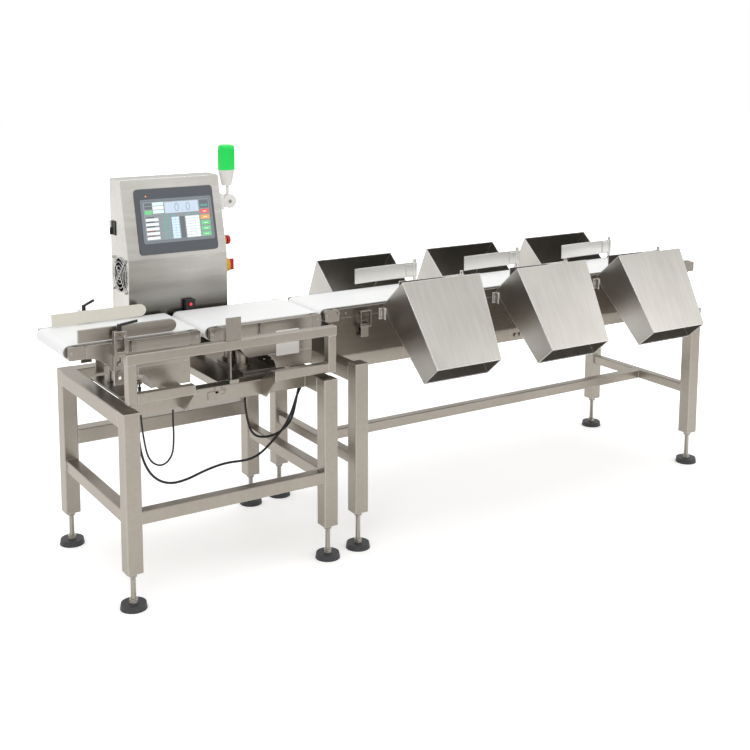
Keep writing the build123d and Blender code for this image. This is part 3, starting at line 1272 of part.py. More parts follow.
with BuildPart() as cell_cord:
    x0, y0, x1, y1 = cell_cord_x, cell_cord_y, cord_end_x, cell_end_y
    cord("cell_cord", [
        (x0, y0, cell_top_z), (x0, y0, cell_top_z - 83), (x0 + 8, y0 + 2, cell_top_z - 163),
        (x0 + 30, y0 + 5, cell_top_z - 228), (x0 + 80, y0 + 8, cell_top_z - 248),
        (x1 - 154, y1 - 7, floor_z - 282), (x1 - 109, y1 - 5, floor_z - 248),
        (x1 - 91, y1 - 4, floor_z - 186), (x1 - 79, y1 - 3, floor_z - 126),
        (x1 - 46, y1 - 1, floor_z - 84), (x1, y1, floor_z - 50), (x1, y1, floor_z)], cord_r)
print("cell_cord volume", round(cell_cord.part.volume))
cell_cord.part.label = "cell_cord"
export_step(cell_cord.part, "parts/cell_cord.step")

with BuildPart() as loop_cord:
    x0, x1, y0 = loop_x0, loop_x1, loop_y
    cord("loop_cord", [
        (x0, y0, main_top), (x0, y0, main_top - 87), (x0 + 8, y0, main_top - 172),
        (x0 + 24, y0 + 2, main_top - 252), (x0 + 67, y0 + 4, main_top - 283),
        (x1 - 5, y0 + 4, main_top - 257), (x1 + 1, y0 + 2, main_top - 192),
        (x1 - 3, y0, main_top - 127), (x1, y0, main_top - 62), (x1, y0, main_top)], loop_cord_r)
print("loop_cord volume", round(loop_cord.part.volume))
loop_cord.part.label = "loop_cord"
export_step(loop_cord.part, "parts/loop_cord.step")
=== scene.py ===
# %% [markdown]
# # A checkweigher with a swing arm sorter
# The machine is stainless steel: two tube stands, three short belt conveyors, a cabinet with a touch screen and
# six sheet metal chutes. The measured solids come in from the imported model. This lesson gives each surface
# its real finish, adds the small pieces that solids leave out, and photographs it all in a plain studio.

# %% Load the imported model
import math

import bmesh
import bpy
from mathutils import Matrix, Vector


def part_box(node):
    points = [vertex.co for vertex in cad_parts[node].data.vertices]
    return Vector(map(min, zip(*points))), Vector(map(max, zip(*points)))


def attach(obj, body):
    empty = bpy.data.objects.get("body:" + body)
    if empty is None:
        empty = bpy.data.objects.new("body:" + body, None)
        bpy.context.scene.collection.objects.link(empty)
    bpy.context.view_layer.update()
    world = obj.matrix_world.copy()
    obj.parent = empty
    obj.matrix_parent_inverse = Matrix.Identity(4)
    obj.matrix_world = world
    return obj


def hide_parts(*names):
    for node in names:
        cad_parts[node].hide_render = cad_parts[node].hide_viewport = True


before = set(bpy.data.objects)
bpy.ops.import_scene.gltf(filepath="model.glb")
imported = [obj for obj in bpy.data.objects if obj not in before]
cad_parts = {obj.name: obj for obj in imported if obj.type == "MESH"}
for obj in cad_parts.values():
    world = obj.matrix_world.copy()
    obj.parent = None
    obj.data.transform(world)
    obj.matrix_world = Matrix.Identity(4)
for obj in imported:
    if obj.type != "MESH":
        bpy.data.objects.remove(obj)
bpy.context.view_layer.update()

scene = bpy.context.scene
MM = 0.001
MACHINE = "machine"

# %% [markdown]
# ## The camera
# The photograph was taken from the operator's left, a little above the belts, with its horizon high in the
# picture. A vertical shift keeps the legs upright, as the photographer's crop did, so the camera is turned only
# a little downwards and the frame is moved down instead.

# %% Camera
def in_scene(name, data):
    """A new object at the origin, linked to the scene."""
    made = bpy.data.objects.new(name, data)
    scene.collection.objects.link(made)
    return made


picture_side, focal_length, horizon_shift = 750, 1197.49, -155      # pixels of the photograph
film_width = 36                                                     # millimetres, as the next line
eye = (-2384.56, -3479.43, 1654.90)
azimuth, pitch, roll = math.radians(-32.764), math.radians(8.396), math.radians(0.220)
forward = Vector((-math.sin(azimuth) * math.cos(pitch), math.cos(azimuth) * math.cos(pitch), -math.sin(pitch)))
right = forward.cross(Vector((0, 0, 1))).normalized()
up = right.cross(forward)
tilted_right = math.cos(roll) * right + math.sin(roll) * up
tilted_up = -math.sin(roll) * right + math.cos(roll) * up
turn = Matrix((tilted_right, tilted_up, -forward)).transposed().to_4x4()
camera_data = bpy.data.cameras.new("camera")
camera = in_scene("camera", camera_data)
camera.matrix_world = Matrix.Translation(Vector(eye) * MM) @ turn
camera_data.sensor_width = film_width
camera_data.lens = focal_length / picture_side * film_width
camera_data.shift_y = horizon_shift / picture_side
camera_data.clip_end = 50           # metres, past the far end of the floor
scene.camera = camera
print("lens", round(camera_data.lens, 2), "shift", round(camera_data.shift_y, 4))

# %% [markdown]
# ## The cords
# Three black cables hang under the weighing belt. Each is one smooth NURBS curve whose control points are the
# points of its route in millimetres, so it sags like a real cable; a chain of straight pieces would look like
# bent wire. A route stands with its cable's radius in millimetres and its length in metres.

# %% Cords
routes = {
    "main_cord": (4.0, 1.18, [
        (-1034, 10, 607), (-1034, 10, 510), (-1031, 10, 417), (-1020, 10, 337), (-988, 12, 272),
        (-934, 14, 235), (-869, 16, 235), (-798, 18, 255), (-722, 20, 266), (-642, 22, 258),
        (-594, 23, 269), (-546, 24, 305), (-496, 25, 349), (-466, 25, 400), (-444, 25, 465),
        (-406, 25, 515), (-344, 25, 553), (-344, 25, 605)]),
    "cell_cord": (4.0, 0.676, [
        (-640, 40, 563), (-640, 40, 480), (-632, 42, 400), (-610, 45, 335), (-560, 48, 315),
        (-498, 51, 323), (-453, 53, 357), (-435, 54, 419), (-423, 55, 479), (-390, 57, 521),
        (-344, 58, 555), (-344, 58, 605)]),
    "loop_cord": (3.0, 0.599, [
        (-1050, -60, 607), (-1050, -60, 520), (-1042, -60, 435), (-1026, -58, 355), (-983, -56, 324),
        (-944, -56, 350), (-938, -58, 415), (-942, -60, 480), (-939, -60, 545), (-939, -60, 607)]),
}
cords = []
for node_name, (radius, length, points) in routes.items():
    curve = bpy.data.curves.new(node_name + "_line", "CURVE")
    curve.dimensions = "3D"
    curve.bevel_depth = 1.0     # times the radius of each point; the curve's box is then the cable's
    curve.bevel_resolution = 4
    curve.resolution_u = 10
    spline = curve.splines.new("NURBS")
    spline.points.add(len(points) - 1)
    for at, point in zip(spline.points, points):
        at.co = (*(Vector(point) * MM), 1)
        at.radius = radius * MM
    spline.order_u = 3
    spline.use_endpoint_u = True
    piece = in_scene(node_name + "_cable", curve)
    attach(piece, MACHINE)
    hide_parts(node_name)
    cords.append(piece)
print("cords", {name: length for name, (radius, length, points) in routes.items()})

# %% [markdown]
# ## Three helpers for materials
# A material is a tree of nodes. One helper turns the hex colours of a colour chart, which are sRGB, into the
# linear values that the renderer works in. The second adds a node with its settings, input values and links; an
# input is named, or numbered where several inputs share a name. The third starts an empty material.

# %% Material helpers
def srgb(text):
    """A hex colour as linear red, green, blue and full alpha."""
    parts = [int(text[i:i + 2], 16) / 255 for i in (1, 3, 5)]
    return (*[c / 12.92 if c <= 0.04045 else ((c + 0.055) / 1.055) ** 2.4 for c in parts], 1.0)


def add(tree, kind, values=None, links=None, **settings):
    """One node with its settings, its input values and the sockets that feed it."""
    node = tree.nodes.new(kind)
    for key, value in settings.items():
        setattr(node, key, value)
    for key, value in (values or {}).items():
        node.inputs[key].default_value = value
    for key, source in (links or {}).items():
        tree.links.new(source, node.inputs[key])
    return node


def new_material(name):
    """An empty material: its tree, its shader and its Object coordinates."""
    material = bpy.data.materials.new(name)
    material.use_nodes = True
    tree = material.node_tree
    tree.nodes.clear()
    shader = add(tree, "ShaderNodeBsdfPrincipled")
    add(tree, "ShaderNodeOutputMaterial", links={"Surface": shader.outputs[0]})
    place = add(tree, "ShaderNodeTexCoord").outputs["Object"]
    return material, tree, shader, place


# %% [markdown]
# ## Brushed stainless steel
# Sheet and tube of grade 304 is brushed with a belt of about 240 grit. The scratches are hundredths of a
# millimetre wide, far too fine to show, so they are drawn a few millimetres wide and long along the brushing,
# as the eye sees them in bands, and they are kept faint. A large soft cloud stands for the stains of handling.
# The edges carry a painted highlight, which stands in for the bright lines of light along folded and welded
# edges. The Bevel node rounds every edge by a few millimetres, since a real edge of 0.5 mm would be lost
# between two pixels, and where its normal leaves the face's own, the metal's colour is painted paler. Castings,
# turned parts and chromed wire are the same function with other scales.

# %% Brushed steel
# painted highlight: the pale colour that the edges of every metal are mixed towards
polished = srgb("#f6f5f2")
noise_low, noise_high = 0.3, 0.7            # a noise pattern hardly leaves this range
grain_part, stain_part = 0.3, 0.7           # what each gives to the pattern
flat, rounded_off = 0.999, 0.93             # cosines between the rounded normal and the face's own


def brushed(name, colour, dark, stretch, rough=0.28, cloud=2.6, edge=2.5, polish=0.7):
    """Brushed metal: bands per metre along X, Y and Z, stains per metre, edge radius in millimetres, and how
    strongly a painted highlight lightens the edges.
    """
    material, tree, shader, place = new_material(name)
    mapped = add(tree, "ShaderNodeMapping", {"Scale": stretch}, {"Vector": place})
    grain = add(tree, "ShaderNodeTexNoise", {"Scale": 1.0, "Detail": 4.0, "Roughness": 0.55},
                {"Vector": mapped.outputs[0]})
    stains = add(tree, "ShaderNodeTexNoise", {"Scale": cloud, "Detail": 3.0, "Roughness": 0.5},
                 {"Vector": place})
    fine = add(tree, "ShaderNodeMath", {1: grain_part}, {0: grain.outputs[0]}, operation="MULTIPLY")
    weight = add(tree, "ShaderNodeMath", {1: stain_part}, {0: stains.outputs[0], 2: fine.outputs[0]},
                 operation="MULTIPLY_ADD")
    spread = add(tree, "ShaderNodeMapRange", {1: noise_low, 2: noise_high}, {0: weight.outputs[0]})
    tone = add(tree, "ShaderNodeMix", {6: srgb(dark), 7: srgb(colour)}, {0: spread.outputs[0]},
               data_type="RGBA")
    gloss = add(tree, "ShaderNodeMapRange",
                {1: noise_low, 2: noise_high, 3: rough - 0.03, 4: rough + 0.04}, {0: weight.outputs[0]})
    rounded = add(tree, "ShaderNodeBevel", {"Radius": edge * MM}, samples=4)
    relief = add(tree, "ShaderNodeBump", {"Strength": 0.015, "Distance": 0.0004},
                 {"Height": grain.outputs[0], "Normal": rounded.outputs[0]})
    own = add(tree, "ShaderNodeNewGeometry").outputs["Normal"]
    agree = add(tree, "ShaderNodeVectorMath", links={0: rounded.outputs[0], 1: own}, operation="DOT_PRODUCT")
    either_side = add(tree, "ShaderNodeMath", links={0: agree.outputs["Value"]}, operation="ABSOLUTE")
    # painted highlight on the edges, where the rounded normal leaves the face's own
    on_edge = add(tree, "ShaderNodeMapRange", {1: flat, 2: rounded_off, 4: polish},
                  {0: either_side.outputs[0]})
    metal = add(tree, "ShaderNodeMix", {7: polished}, {0: on_edge.outputs[0], 6: tone.outputs[2]},
                data_type="RGBA")
    tree.links.new(metal.outputs[2], shader.inputs["Base Color"])
    tree.links.new(gloss.outputs[0], shader.inputs["Roughness"])
    tree.links.new(relief.outputs[0], shader.inputs["Normal"])
    shader.inputs["Metallic"].default_value = 1.0
    return material


along_flow = (6, 90, 90)
steel_tube = brushed("brushed_304_tube", "#aaa39a", "#989187", (60, 60, 60), rough=0.33, edge=3.0)
steel_along = brushed("brushed_304_along_flow", "#aaa49b", "#98928a", along_flow,
                      rough=0.30, edge=2.0, polish=0.6)
# painted shade: the sorter's side plate is the same steel as the rest, given a much darker colour for the shade
# of the chutes over it
steel_body = brushed("brushed_304_side_plate", "#6f685f", "#5f5850", along_flow, edge=1.5, polish=0.4)
steel_chute = brushed("brushed_304_chute_sheet", "#c6c3be", "#a9a6a1", (90, 8, 8),
                      rough=0.31, edge=5.0, polish=1.0)
steel_cabinet = brushed("brushed_304_cabinet", "#dbd9d4", "#b9b6b0", (5, 60, 60),
                        rough=0.24, cloud=4.0, edge=4.0, polish=1.0)
steel_arm = brushed("brushed_304_arm", "#efeeeb", "#e2e0dc", (16, 160, 160), rough=0.24)
steel_turned = brushed("turned_steel", "#b0ada8", "#9d9993", (120, 8, 120), rough=0.25)
steel_small = brushed("pickled_steel_parts", "#a49e96", "#928c84", (90, 90, 90),
                      rough=0.3, edge=1.0, polish=0.4)
motor_metal = brushed("motor_casting", "#4a4a4c", "#38383a", (120, 120, 120), rough=0.5)
chrome = brushed("chromed_wire", "#cfcfcf", "#c0c0c0", (200, 200, 200), rough=0.14, edge=0.5)
metals = (steel_tube, steel_along, steel_body, steel_chute, steel_cabinet, steel_arm, steel_turned,
          steel_small, motor_metal, chrome)
print("metals", [metal.name for metal in metals])

# %% [markdown]
# ## Painted shade at the foot of the cabinet
# Just behind the belts the cabinet's front panel is painted darker. This is painted shade that stands in for
# the dark gap behind the belts, which the panel mirrors. The shade follows the height above the floor, and only
# faces that look straight to the front have it. The steel's own colour is kept as one side of a new Mix node,
# so nothing of the brushed finish is lost.

# %% Painted shade at the cabinet's foot
# painted shade: the front panel is darkened between these heights, most at its foot
stain_full, stain_gone, stain_strength = 0.795, 0.885, 0.85     # heights in metres, and the part at its foot
straight_front = -0.99                                          # Y of the normal
tree = steel_cabinet.node_tree
shader = next(node for node in tree.nodes if node.type == "BSDF_PRINCIPLED")
clean = shader.inputs["Base Color"].links[0].from_socket
height = add(tree, "ShaderNodeSeparateXYZ",
             links={0: add(tree, "ShaderNodeTexCoord").outputs["Object"]}).outputs[2]
looks = add(tree, "ShaderNodeSeparateXYZ",
            links={0: add(tree, "ShaderNodeNewGeometry").outputs["True Normal"]}).outputs[1]
low = add(tree, "ShaderNodeMapRange", {1: stain_full, 2: stain_gone, 3: stain_strength, 4: 0.0}, {0: height})
to_front = add(tree, "ShaderNodeMath", {1: straight_front}, {0: looks}, operation="LESS_THAN")
amount = add(tree, "ShaderNodeMath", links={0: low.outputs[0], 1: to_front.outputs[0]}, operation="MULTIPLY")
# painted shade: this dark colour is mixed into the steel at the panel's foot
dulled = add(tree, "ShaderNodeMix", {7: srgb("#4a4640")}, {0: amount.outputs[0], 6: clean}, data_type="RGBA")
tree.links.new(dulled.outputs[2], shader.inputs["Base Color"])
print("painted shade from", stain_full, "to", stain_gone, "m on", steel_cabinet.name)

# %% [markdown]
# ## Plain moulded and coated finishes
# Moulded plastics, rubber and the white polyurethane belt are dielectric: their colour is in the body and the
# gloss lies on top. What tells them apart is roughness and a faint texture from the mould or the fabric under
# the coating, so one function makes them all with its own scale of pattern.

# %% Plastics, rubber and belt
def moulded(name, colour, dark, scale, rough, bump=0.08, glow=0.0):
    """A dielectric finish with a fine texture; scale is in lumps per metre."""
    material, tree, shader, place = new_material(name)
    texture = add(tree, "ShaderNodeTexNoise", {"Scale": scale, "Detail": 4.0, "Roughness": 0.6},
                  {"Vector": place})
    soft = add(tree, "ShaderNodeTexNoise", {"Scale": 6.0, "Detail": 2.0}, {"Vector": place})
    tone = add(tree, "ShaderNodeMix", {6: srgb(dark), 7: srgb(colour)}, {0: soft.outputs[0]},
               data_type="RGBA")
    relief = add(tree, "ShaderNodeBump", {"Strength": bump, "Distance": 0.0005},
                 {"Height": texture.outputs[0]})
    gloss = add(tree, "ShaderNodeMapRange",
                {1: noise_low, 2: noise_high, 3: rough - 0.05, 4: rough + 0.06}, {0: texture.outputs[0]})
    tree.links.new(tone.outputs[2], shader.inputs["Base Color"])
    tree.links.new(relief.outputs[0], shader.inputs["Normal"])
    tree.links.new(gloss.outputs[0], shader.inputs["Roughness"])
    if glow:
        shader.inputs["Emission Color"].default_value = srgb(colour)
        shader.inputs["Emission Strength"].default_value = glow
    return material


belt_white = moulded("white_pu_belt", "#f1f2f2", "#e9ebeb", 700, 0.45, bump=0.06)
cream_rail = moulded("uhmw_polyethylene_cream", "#dedbd0", "#d3cfc2", 300, 0.42)
black_nylon = moulded("black_nylon", "#1e1e20", "#151516", 500, 0.42)
black_rubber = moulded("black_pvc_cable", "#161618", "#0f0f11", 400, 0.5)
bezel_abs = moulded("slate_abs_bezel", "#5b5f65", "#52565c", 600, 0.16, bump=0.02)
bezel_rim = moulded("grey_window_frame", "#8a9298", "#81898f", 600, 0.2, bump=0.02)
white_abs = moulded("white_abs", "#eceae6", "#e2e0dc", 300, 0.3)
red_abs = moulded("red_abs", "#c71d1b", "#b31715", 300, 0.3)
yellow_abs = moulded("yellow_abs", "#e3ae14", "#d39f10", 300, 0.35)
green_lens = moulded("green_polycarbonate", "#08c44f", "#06b548", 60, 0.12, glow=0.45)
plastics = (belt_white, cream_rail, black_nylon, black_rubber, bezel_abs, bezel_rim, white_abs, red_abs,
            yellow_abs, green_lens)
print("plastics", [plastic.name for plastic in plastics])

# %% [markdown]
# ## The feet
# Each foot is a plated threaded rod in a rubber-covered pad. They are one solid in the model, so the material
# changes with height: black rubber up to the pad's top, zinc-plated steel with its thread above. A real thread
# has a 2 mm pitch, which would vanish at this distance, so it is drawn at 4 mm.

# %% Foot material
pad_top = 18.4 * MM
thread_pitch = 4 * MM
rubber_rough, zinc_rough = 0.5, 0.3
foot_finish, tree, shader, place = new_material("rubber_pad_and_plated_rod")
height = add(tree, "ShaderNodeSeparateXYZ", links={0: place}).outputs[2]
is_rod = add(tree, "ShaderNodeMath", {1: pad_top}, {0: height}, operation="GREATER_THAN").outputs[0]
tone = add(tree, "ShaderNodeMix", {6: srgb("#38383b"), 7: srgb("#bdb8ae")}, {0: is_rod}, data_type="RGBA")
gloss = add(tree, "ShaderNodeMapRange", {3: rubber_rough, 4: zinc_rough}, {0: is_rod})
turns = add(tree, "ShaderNodeMath", {1: 2 * math.pi / thread_pitch}, {0: height}, operation="MULTIPLY")
wave = add(tree, "ShaderNodeMath", links={0: turns.outputs[0]}, operation="SINE")
ridge = add(tree, "ShaderNodeMath", links={0: wave.outputs[0], 1: is_rod}, operation="MULTIPLY")
relief = add(tree, "ShaderNodeBump", {"Strength": 0.6, "Distance": 0.0012}, {"Height": ridge.outputs[0]})
tree.links.new(tone.outputs[2], shader.inputs["Base Color"])
tree.links.new(gloss.outputs[0], shader.inputs["Roughness"])
tree.links.new(is_rod, shader.inputs["Metallic"])
tree.links.new(relief.outputs[0], shader.inputs["Normal"])
print("foot: rubber to", round(pad_top / MM, 1), "mm, thread above")

# %% [markdown]
# ## A finish for every solid
# Each solid of the model gets one finish, found by its name. The material goes on the object's slot and not on
# its mesh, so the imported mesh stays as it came.

# %% Give every solid its finish
finishes = {
    steel_tube: "motor_covers weigh_stand sorter_stand guard_frame cabinet_supports infeed_brackets",
    steel_along: "infeed_frame weigh_frame load_cell guide_rail_front",
    steel_body: "sorter_body",
    steel_chute: "chutes_front chutes_rear",
    steel_cabinet: "cabinet_shell cabinet_door",
    steel_arm: "arm_front_1 arm_front_2 arm_front_3 arm_rear_1 arm_rear_2 arm_rear_3",
    steel_small: "end_blocks sorter_latch_lever sorter_latch_hook fasteners reflector",
    steel_turned: "infeed_drive_roller infeed_idler_roller weigh_drive_roller weigh_idler_roller "
                  "sorter_drive_roller sorter_idler_roller infeed_motor_pulley weigh_motor_pulley "
                  "sorter_motor_pulley",
    motor_metal: "drive_motors",
    belt_white: "infeed_belt weigh_belt sorter_belt",
    cream_rail: "guide_rail_rear",
    black_nylon: "clamp_lever_front clamp_lever_rear door_hinges fan_rotor photo_sensor toothed_belts",
    bezel_abs: "hmi_bezel",
    white_abs: "beacon_arm beacon_mount",
    red_abs: "estop_button main_switch_knob",
    yellow_abs: "control_plates",
    green_lens: "beacon_lens",
    chrome: "fan_guard",
    foot_finish: "weigh_feet sorter_feet",
}
for material, names in finishes.items():
    for name in names.split():
        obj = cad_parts[name]
        for slot in obj.material_slots:
            slot.link = "OBJECT"
            slot.material = material
for piece in cords:
    piece.data.materials.append(black_rubber)
print("finishes", len(finishes), "for", sum(len(names.split()) for names in finishes.values()), "nodes")

# %% [markdown]
# ## Helpers for small pieces
# Many small pieces are thin plates, thin rings or short turned parts. Each starts as a bmesh: an outline or a
# profile, in millimetres, is given its thickness, and a matrix sets it in its place. The place is kept in the
# mesh, so that the piece sits at the origin like the solids and a pattern fits both.

# %% Mesh helpers
def finish_mesh(name, bm, material, body=MACHINE, smooth=None):
    """Turns a bmesh into a piece that rides on a body; smooth is the angle up to which its edges are soft."""
    bmesh.ops.recalc_face_normals(bm, faces=bm.faces)
    mesh = bpy.data.meshes.new(name)
    bm.to_mesh(mesh)
    bm.free()
    mesh.materials.append(material)
    piece = in_scene(name, mesh)
    if smooth is not None:
        mesh.shade_smooth()
        mesh.set_sharp_from_angle(angle=math.radians(smooth))
    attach(piece, body)
    print(name, len(mesh.polygons), "faces on", body)


def round_outline(width, height, corner, steps=5):
    """The points round a rectangle with round corners, anticlockwise."""
    outline = []
    for cx, cy, start in ((1, 1, 0), (-1, 1, 90), (-1, -1, 180), (1, -1, 270)):
        for step in range(steps + 1):
            angle = math.radians(start + 90 * step / steps)
            outline.append((cx * (width / 2 - corner) + corner * math.cos(angle),
                            cy * (height / 2 - corner) + corner * math.sin(angle)))
    return outline


def ring(bm, matrix, outer, inner, thick):
    """A flat ring between two outlines with as many points, its back on the matrix's plane."""
    loops = [[bm.verts.new(matrix @ (Vector((x, y, z)) * MM)) for x, y in outline]
             for outline, z in ((outer, 0), (outer, thick), (inner, thick), (inner, 0))]
    count = len(outer)
    for i in range(count):
        j = (i + 1) % count
        for a, b in ((0, 1), (1, 2), (2, 3), (3, 0)):
            bm.faces.new((loops[a][i], loops[a][j], loops[b][j], loops[b][i]))


def plate(bm, matrix, width, height, thick, corner, steps=5):
    """A plate with round corners, centred on the matrix, its back on the matrix's plane."""
    outline = round_outline(width, height, corner, steps)
    low = [bm.verts.new(matrix @ (Vector((x, y, 0)) * MM)) for x, y in outline]
    high = [bm.verts.new(matrix @ (Vector((x, y, thick)) * MM)) for x, y in outline]
    bm.faces.new(low[::-1])
    bm.faces.new(high)
    for i in range(len(low)):
        bm.faces.new((low[i - 1], low[i], high[i], high[i - 1]))


def turned(bm, matrix, profile, segments):
    """A turned piece round the matrix's Z axis from (radius, height) pairs, closed where the radius is 0."""
    rings = []
    for radius, z in profile:
        angles = [2 * math.pi * i / segments for i in range(segments if radius else 1)]
        rings.append([bm.verts.new(matrix @ (Vector((radius * math.cos(a), radius * math.sin(a), z)) * MM))
                      for a in angles])
    for a, b in zip(rings, rings[1:]):
        for i in range(segments):
            j = (i + 1) % segments
            if len(a) == 1:
                bm.faces.new((a[0], b[i], b[j]))
            elif len(b) == 1:
                bm.faces.new((a[i], a[j], b[0]))
            else:
                bm.faces.new((a[i], a[j], b[j], b[i]))


def on_front(x, y, z):
    """A matrix at a point, facing the operator: X along the flow, Y up and Z outwards."""
    return Matrix.Translation(Vector((x, y, z)) * MM) @ Matrix(((1, 0, 0), (0, 0, -1), (0, 1, 0))).to_4x4()


# %% [markdown]
# ## The touch screen
# The terminal is a flat panel in a slate-grey bezel. Its picture is a page of fields and buttons, so it is made
# of thin tiles on the glass, each with its own colour, which stays sharper than a painted texture. The page is
# described in parts of its width and height, from its upper left corner, as a page designer would. Only a plain
# reading is written on it.

# %% The page's plane
low, high = (Vector(corner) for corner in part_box("hmi_screen"))
page_w, page_h = (high.x - low.x) / MM, 128
slope_depth, slope_height = 61.0, 256.0         # of the cabinet's sloping face
up_slope = Vector((0, slope_depth, slope_height)).normalized()
outward = Vector((0, -slope_height, slope_depth)).normalized()
to_glass = 0.42                                 # from the middle of the display to its front
middle = (low + high) / 2 + outward * to_glass * MM
page = Matrix.Translation(middle) @ Matrix((Vector((1, 0, 0)), up_slope, outward)).transposed().to_4x4()
print("page", round(page_w, 1), "x", page_h, "mm")

# %% [markdown]
# ## Colours behind the glass
# A display gives its own light, so each colour of the page also glows a little, or it would look printed. It
# shines like the glass over it. Small lamps are the same finish with a stronger glow.

# %% Colours behind the glass
def lit(name, colour, strength=0.38):
    """A colour behind the glass of a display: it glows a little and shines like glass."""
    material, tree, shader, place = new_material(name)
    haze = add(tree, "ShaderNodeTexNoise", {"Scale": 900.0, "Detail": 1.0}, {"Vector": place})
    gloss = add(tree, "ShaderNodeMapRange", {3: 0.10, 4: 0.16}, {0: haze.outputs[0]})       # wiped glass
    tree.links.new(gloss.outputs[0], shader.inputs["Roughness"])
    shader.inputs["Base Color"].default_value = srgb(colour)
    shader.inputs["Emission Color"].default_value = srgb(colour)
    shader.inputs["Emission Strength"].default_value = strength
    return material


page_colours = {name: lit("display_" + name, colour) for name, colour in (
    ("ground", "#868d92"), ("sky", "#b9c8d8"), ("ice", "#c5dcea"), ("mint", "#cfe6de"), ("white", "#dfe5e6"),
    ("grey", "#62686d"), ("dark", "#3a3f44"), ("teal", "#4fb3a8"), ("red", "#de5f54"), ("orange", "#e8a24c"),
    ("green", "#6cc582"), ("maroon", "#8a4a48"))}
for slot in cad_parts["hmi_screen"].material_slots:
    slot.link = "OBJECT"
    slot.material = page_colours["ground"]
print("display colours", list(page_colours))

# %% [markdown]
# ## The tiles
# The page is a plain one of fields, a list and a column of buttons. Rows and columns repeat, so loops lay them
# out, and each tile is kept under its colour: one mesh for each colour is enough.

# %% Tiles of the page
tile_thick, tile_corner = 0.12, 0.7
first_lift, layer_lift = 0.05, 0.15
tiles = {name: [] for name in page_colours}


def tile(colour, x0, y0, x1, y1, layer=0):
    """A tile in parts of the page, x from its left and y from its top."""
    tiles[colour].append((x0, y0, x1, y1, layer))


tile("sky", 0.32, 0.03, 0.83, 0.32)
for y in (0.03, 0.12):
    tile("grey", 0.02, y, 0.13, y + 0.07)
tile("green", 0.02, 0.22, 0.125, 0.32)
for y, colour in ((0.02, "mint"), (0.12, "white"), (0.22, "mint")):
    tile(colour, 0.14, y, 0.305, y + 0.085)
tile("grey", 0.85, 0.03, 0.985, 0.25)
for x in (0.868, 0.905, 0.942):
    tile("teal", x, 0.15, x + 0.022, 0.20, 1)
for y, colour in ((0.28, "red"), (0.43, "orange"), (0.58, "green"), (0.725, "green"), (0.87, "green")):
    tile(colour, 0.85, y, 0.985, y + 0.105)
    tile("white", 0.89, y + 0.045, 0.945, y + 0.065, 1)
for row in range(5):
    y = 0.425 + row * 0.118
    tile("white", 0.02, y, 0.21, y + 0.07)
    tile("maroon" if row > 2 else "dark", 0.03, y - 0.035, 0.15, y - 0.015)
for row in range(8):
    y = 0.425 + row * 0.07
    for x in (0.285, 0.34):
        tile("teal", x, y + 0.015, x + 0.032, y + 0.035)
    for column in range(2):
        tile("ice", 0.405 + column * 0.056, y, 0.459 + column * 0.056, y + 0.064)
    for column in range(3):
        tile("white", 0.615 + column * 0.071, y, 0.684 + column * 0.071, y + 0.064)
tile("grey", 0.53, 0.42, 0.60, 0.985)
for x in (0.30, 0.42, 0.63, 0.75):
    tile("teal", x, 0.37, x + 0.06, 0.385)


def on_page(x, y, lift):
    """A matrix on the page, x and y in parts of it, lifted off the glass."""
    return page @ Matrix.Translation(Vector(((x - 0.5) * page_w, (0.5 - y) * page_h, lift)) * MM)


for colour, entries in tiles.items():
    if entries:
        bm = bmesh.new()
        for x0, y0, x1, y1, layer in entries:
            plate(bm, on_page((x0 + x1) / 2, (y0 + y1) / 2, first_lift + layer_lift * layer),
                  (x1 - x0) * page_w, (y1 - y0) * page_h, tile_thick, tile_corner, steps=2)
        finish_mesh("page_" + colour, bm, page_colours[colour])
print("tiles", sum(len(entries) for entries in tiles.values()))

# %% [markdown]
# ## The reading
# An empty scale shows 0.0. The two noughts are flat oval rings and the point between them is a small plate, so
# no font is needed, and a font's outline would bring hundreds of faces.

# %% The reading, 0.0
digit_w, digit_h, stroke, sides = 14, 26, 1.3, 28
point_side, reading_lift, reading_thick = 2.2, 0.3, 0.1


def oval(width, height):
    """The points round an oval."""
    return [(width / 2 * math.cos(a), height / 2 * math.sin(a))
            for a in (2 * math.pi * i / sides for i in range(sides))]


bm = bmesh.new()
for x in (0.50, 0.67):
    ring(bm, on_page(x, 0.175, reading_lift), oval(digit_w, digit_h),
         oval(digit_w - 2 * stroke, digit_h - 2 * stroke), reading_thick)
plate(bm, on_page(0.585, 0.26, reading_lift), point_side, point_side, reading_thick, tile_corner, steps=2)
finish_mesh("page_reading", bm, page_colours["grey"])

# %% [markdown]
# ## The bezel's window frame and light
# Round the display the bezel has a paler band, and at its upper left a small amber light shows that the power
# is on. The band could be four strips, but a single ring between two outlines has clean corners.

# %% Window frame and light
bm = bmesh.new()
band_outer, band_inner, band_thick = 17, 1.5, 0.7           # the first two are added to the page's sizes
ring(bm, on_page(0.5, 0.5, -0.1), round_outline(page_w + band_outer, page_h + band_outer, 7),
     round_outline(page_w + band_inner, page_h + band_inner, 0.8), band_thick)
finish_mesh("window_frame", bm, bezel_rim)
bm = bmesh.new()
turned(bm, page @ Matrix.Translation(Vector((-104, 83, 0.1)) * MM),
       [(0, 0), (2.2, 0), (2.2, 0.6), (1.4, 1.1), (0, 1.3)], segments=20)
finish_mesh("power_light", bm, lit("amber_light", "#ff9a3c", strength=0.9), smooth=40)

# %% [markdown]
# ## Screws, by Geometry Nodes
# The machine is held together with button head screws. One tree turns points into screws: each point carries
# the direction it faces, an instance of the head stands on it, and the instances become real mesh at the end.
# Sizes are inputs of the tree, so another screw size is another set of numbers and no new tree.

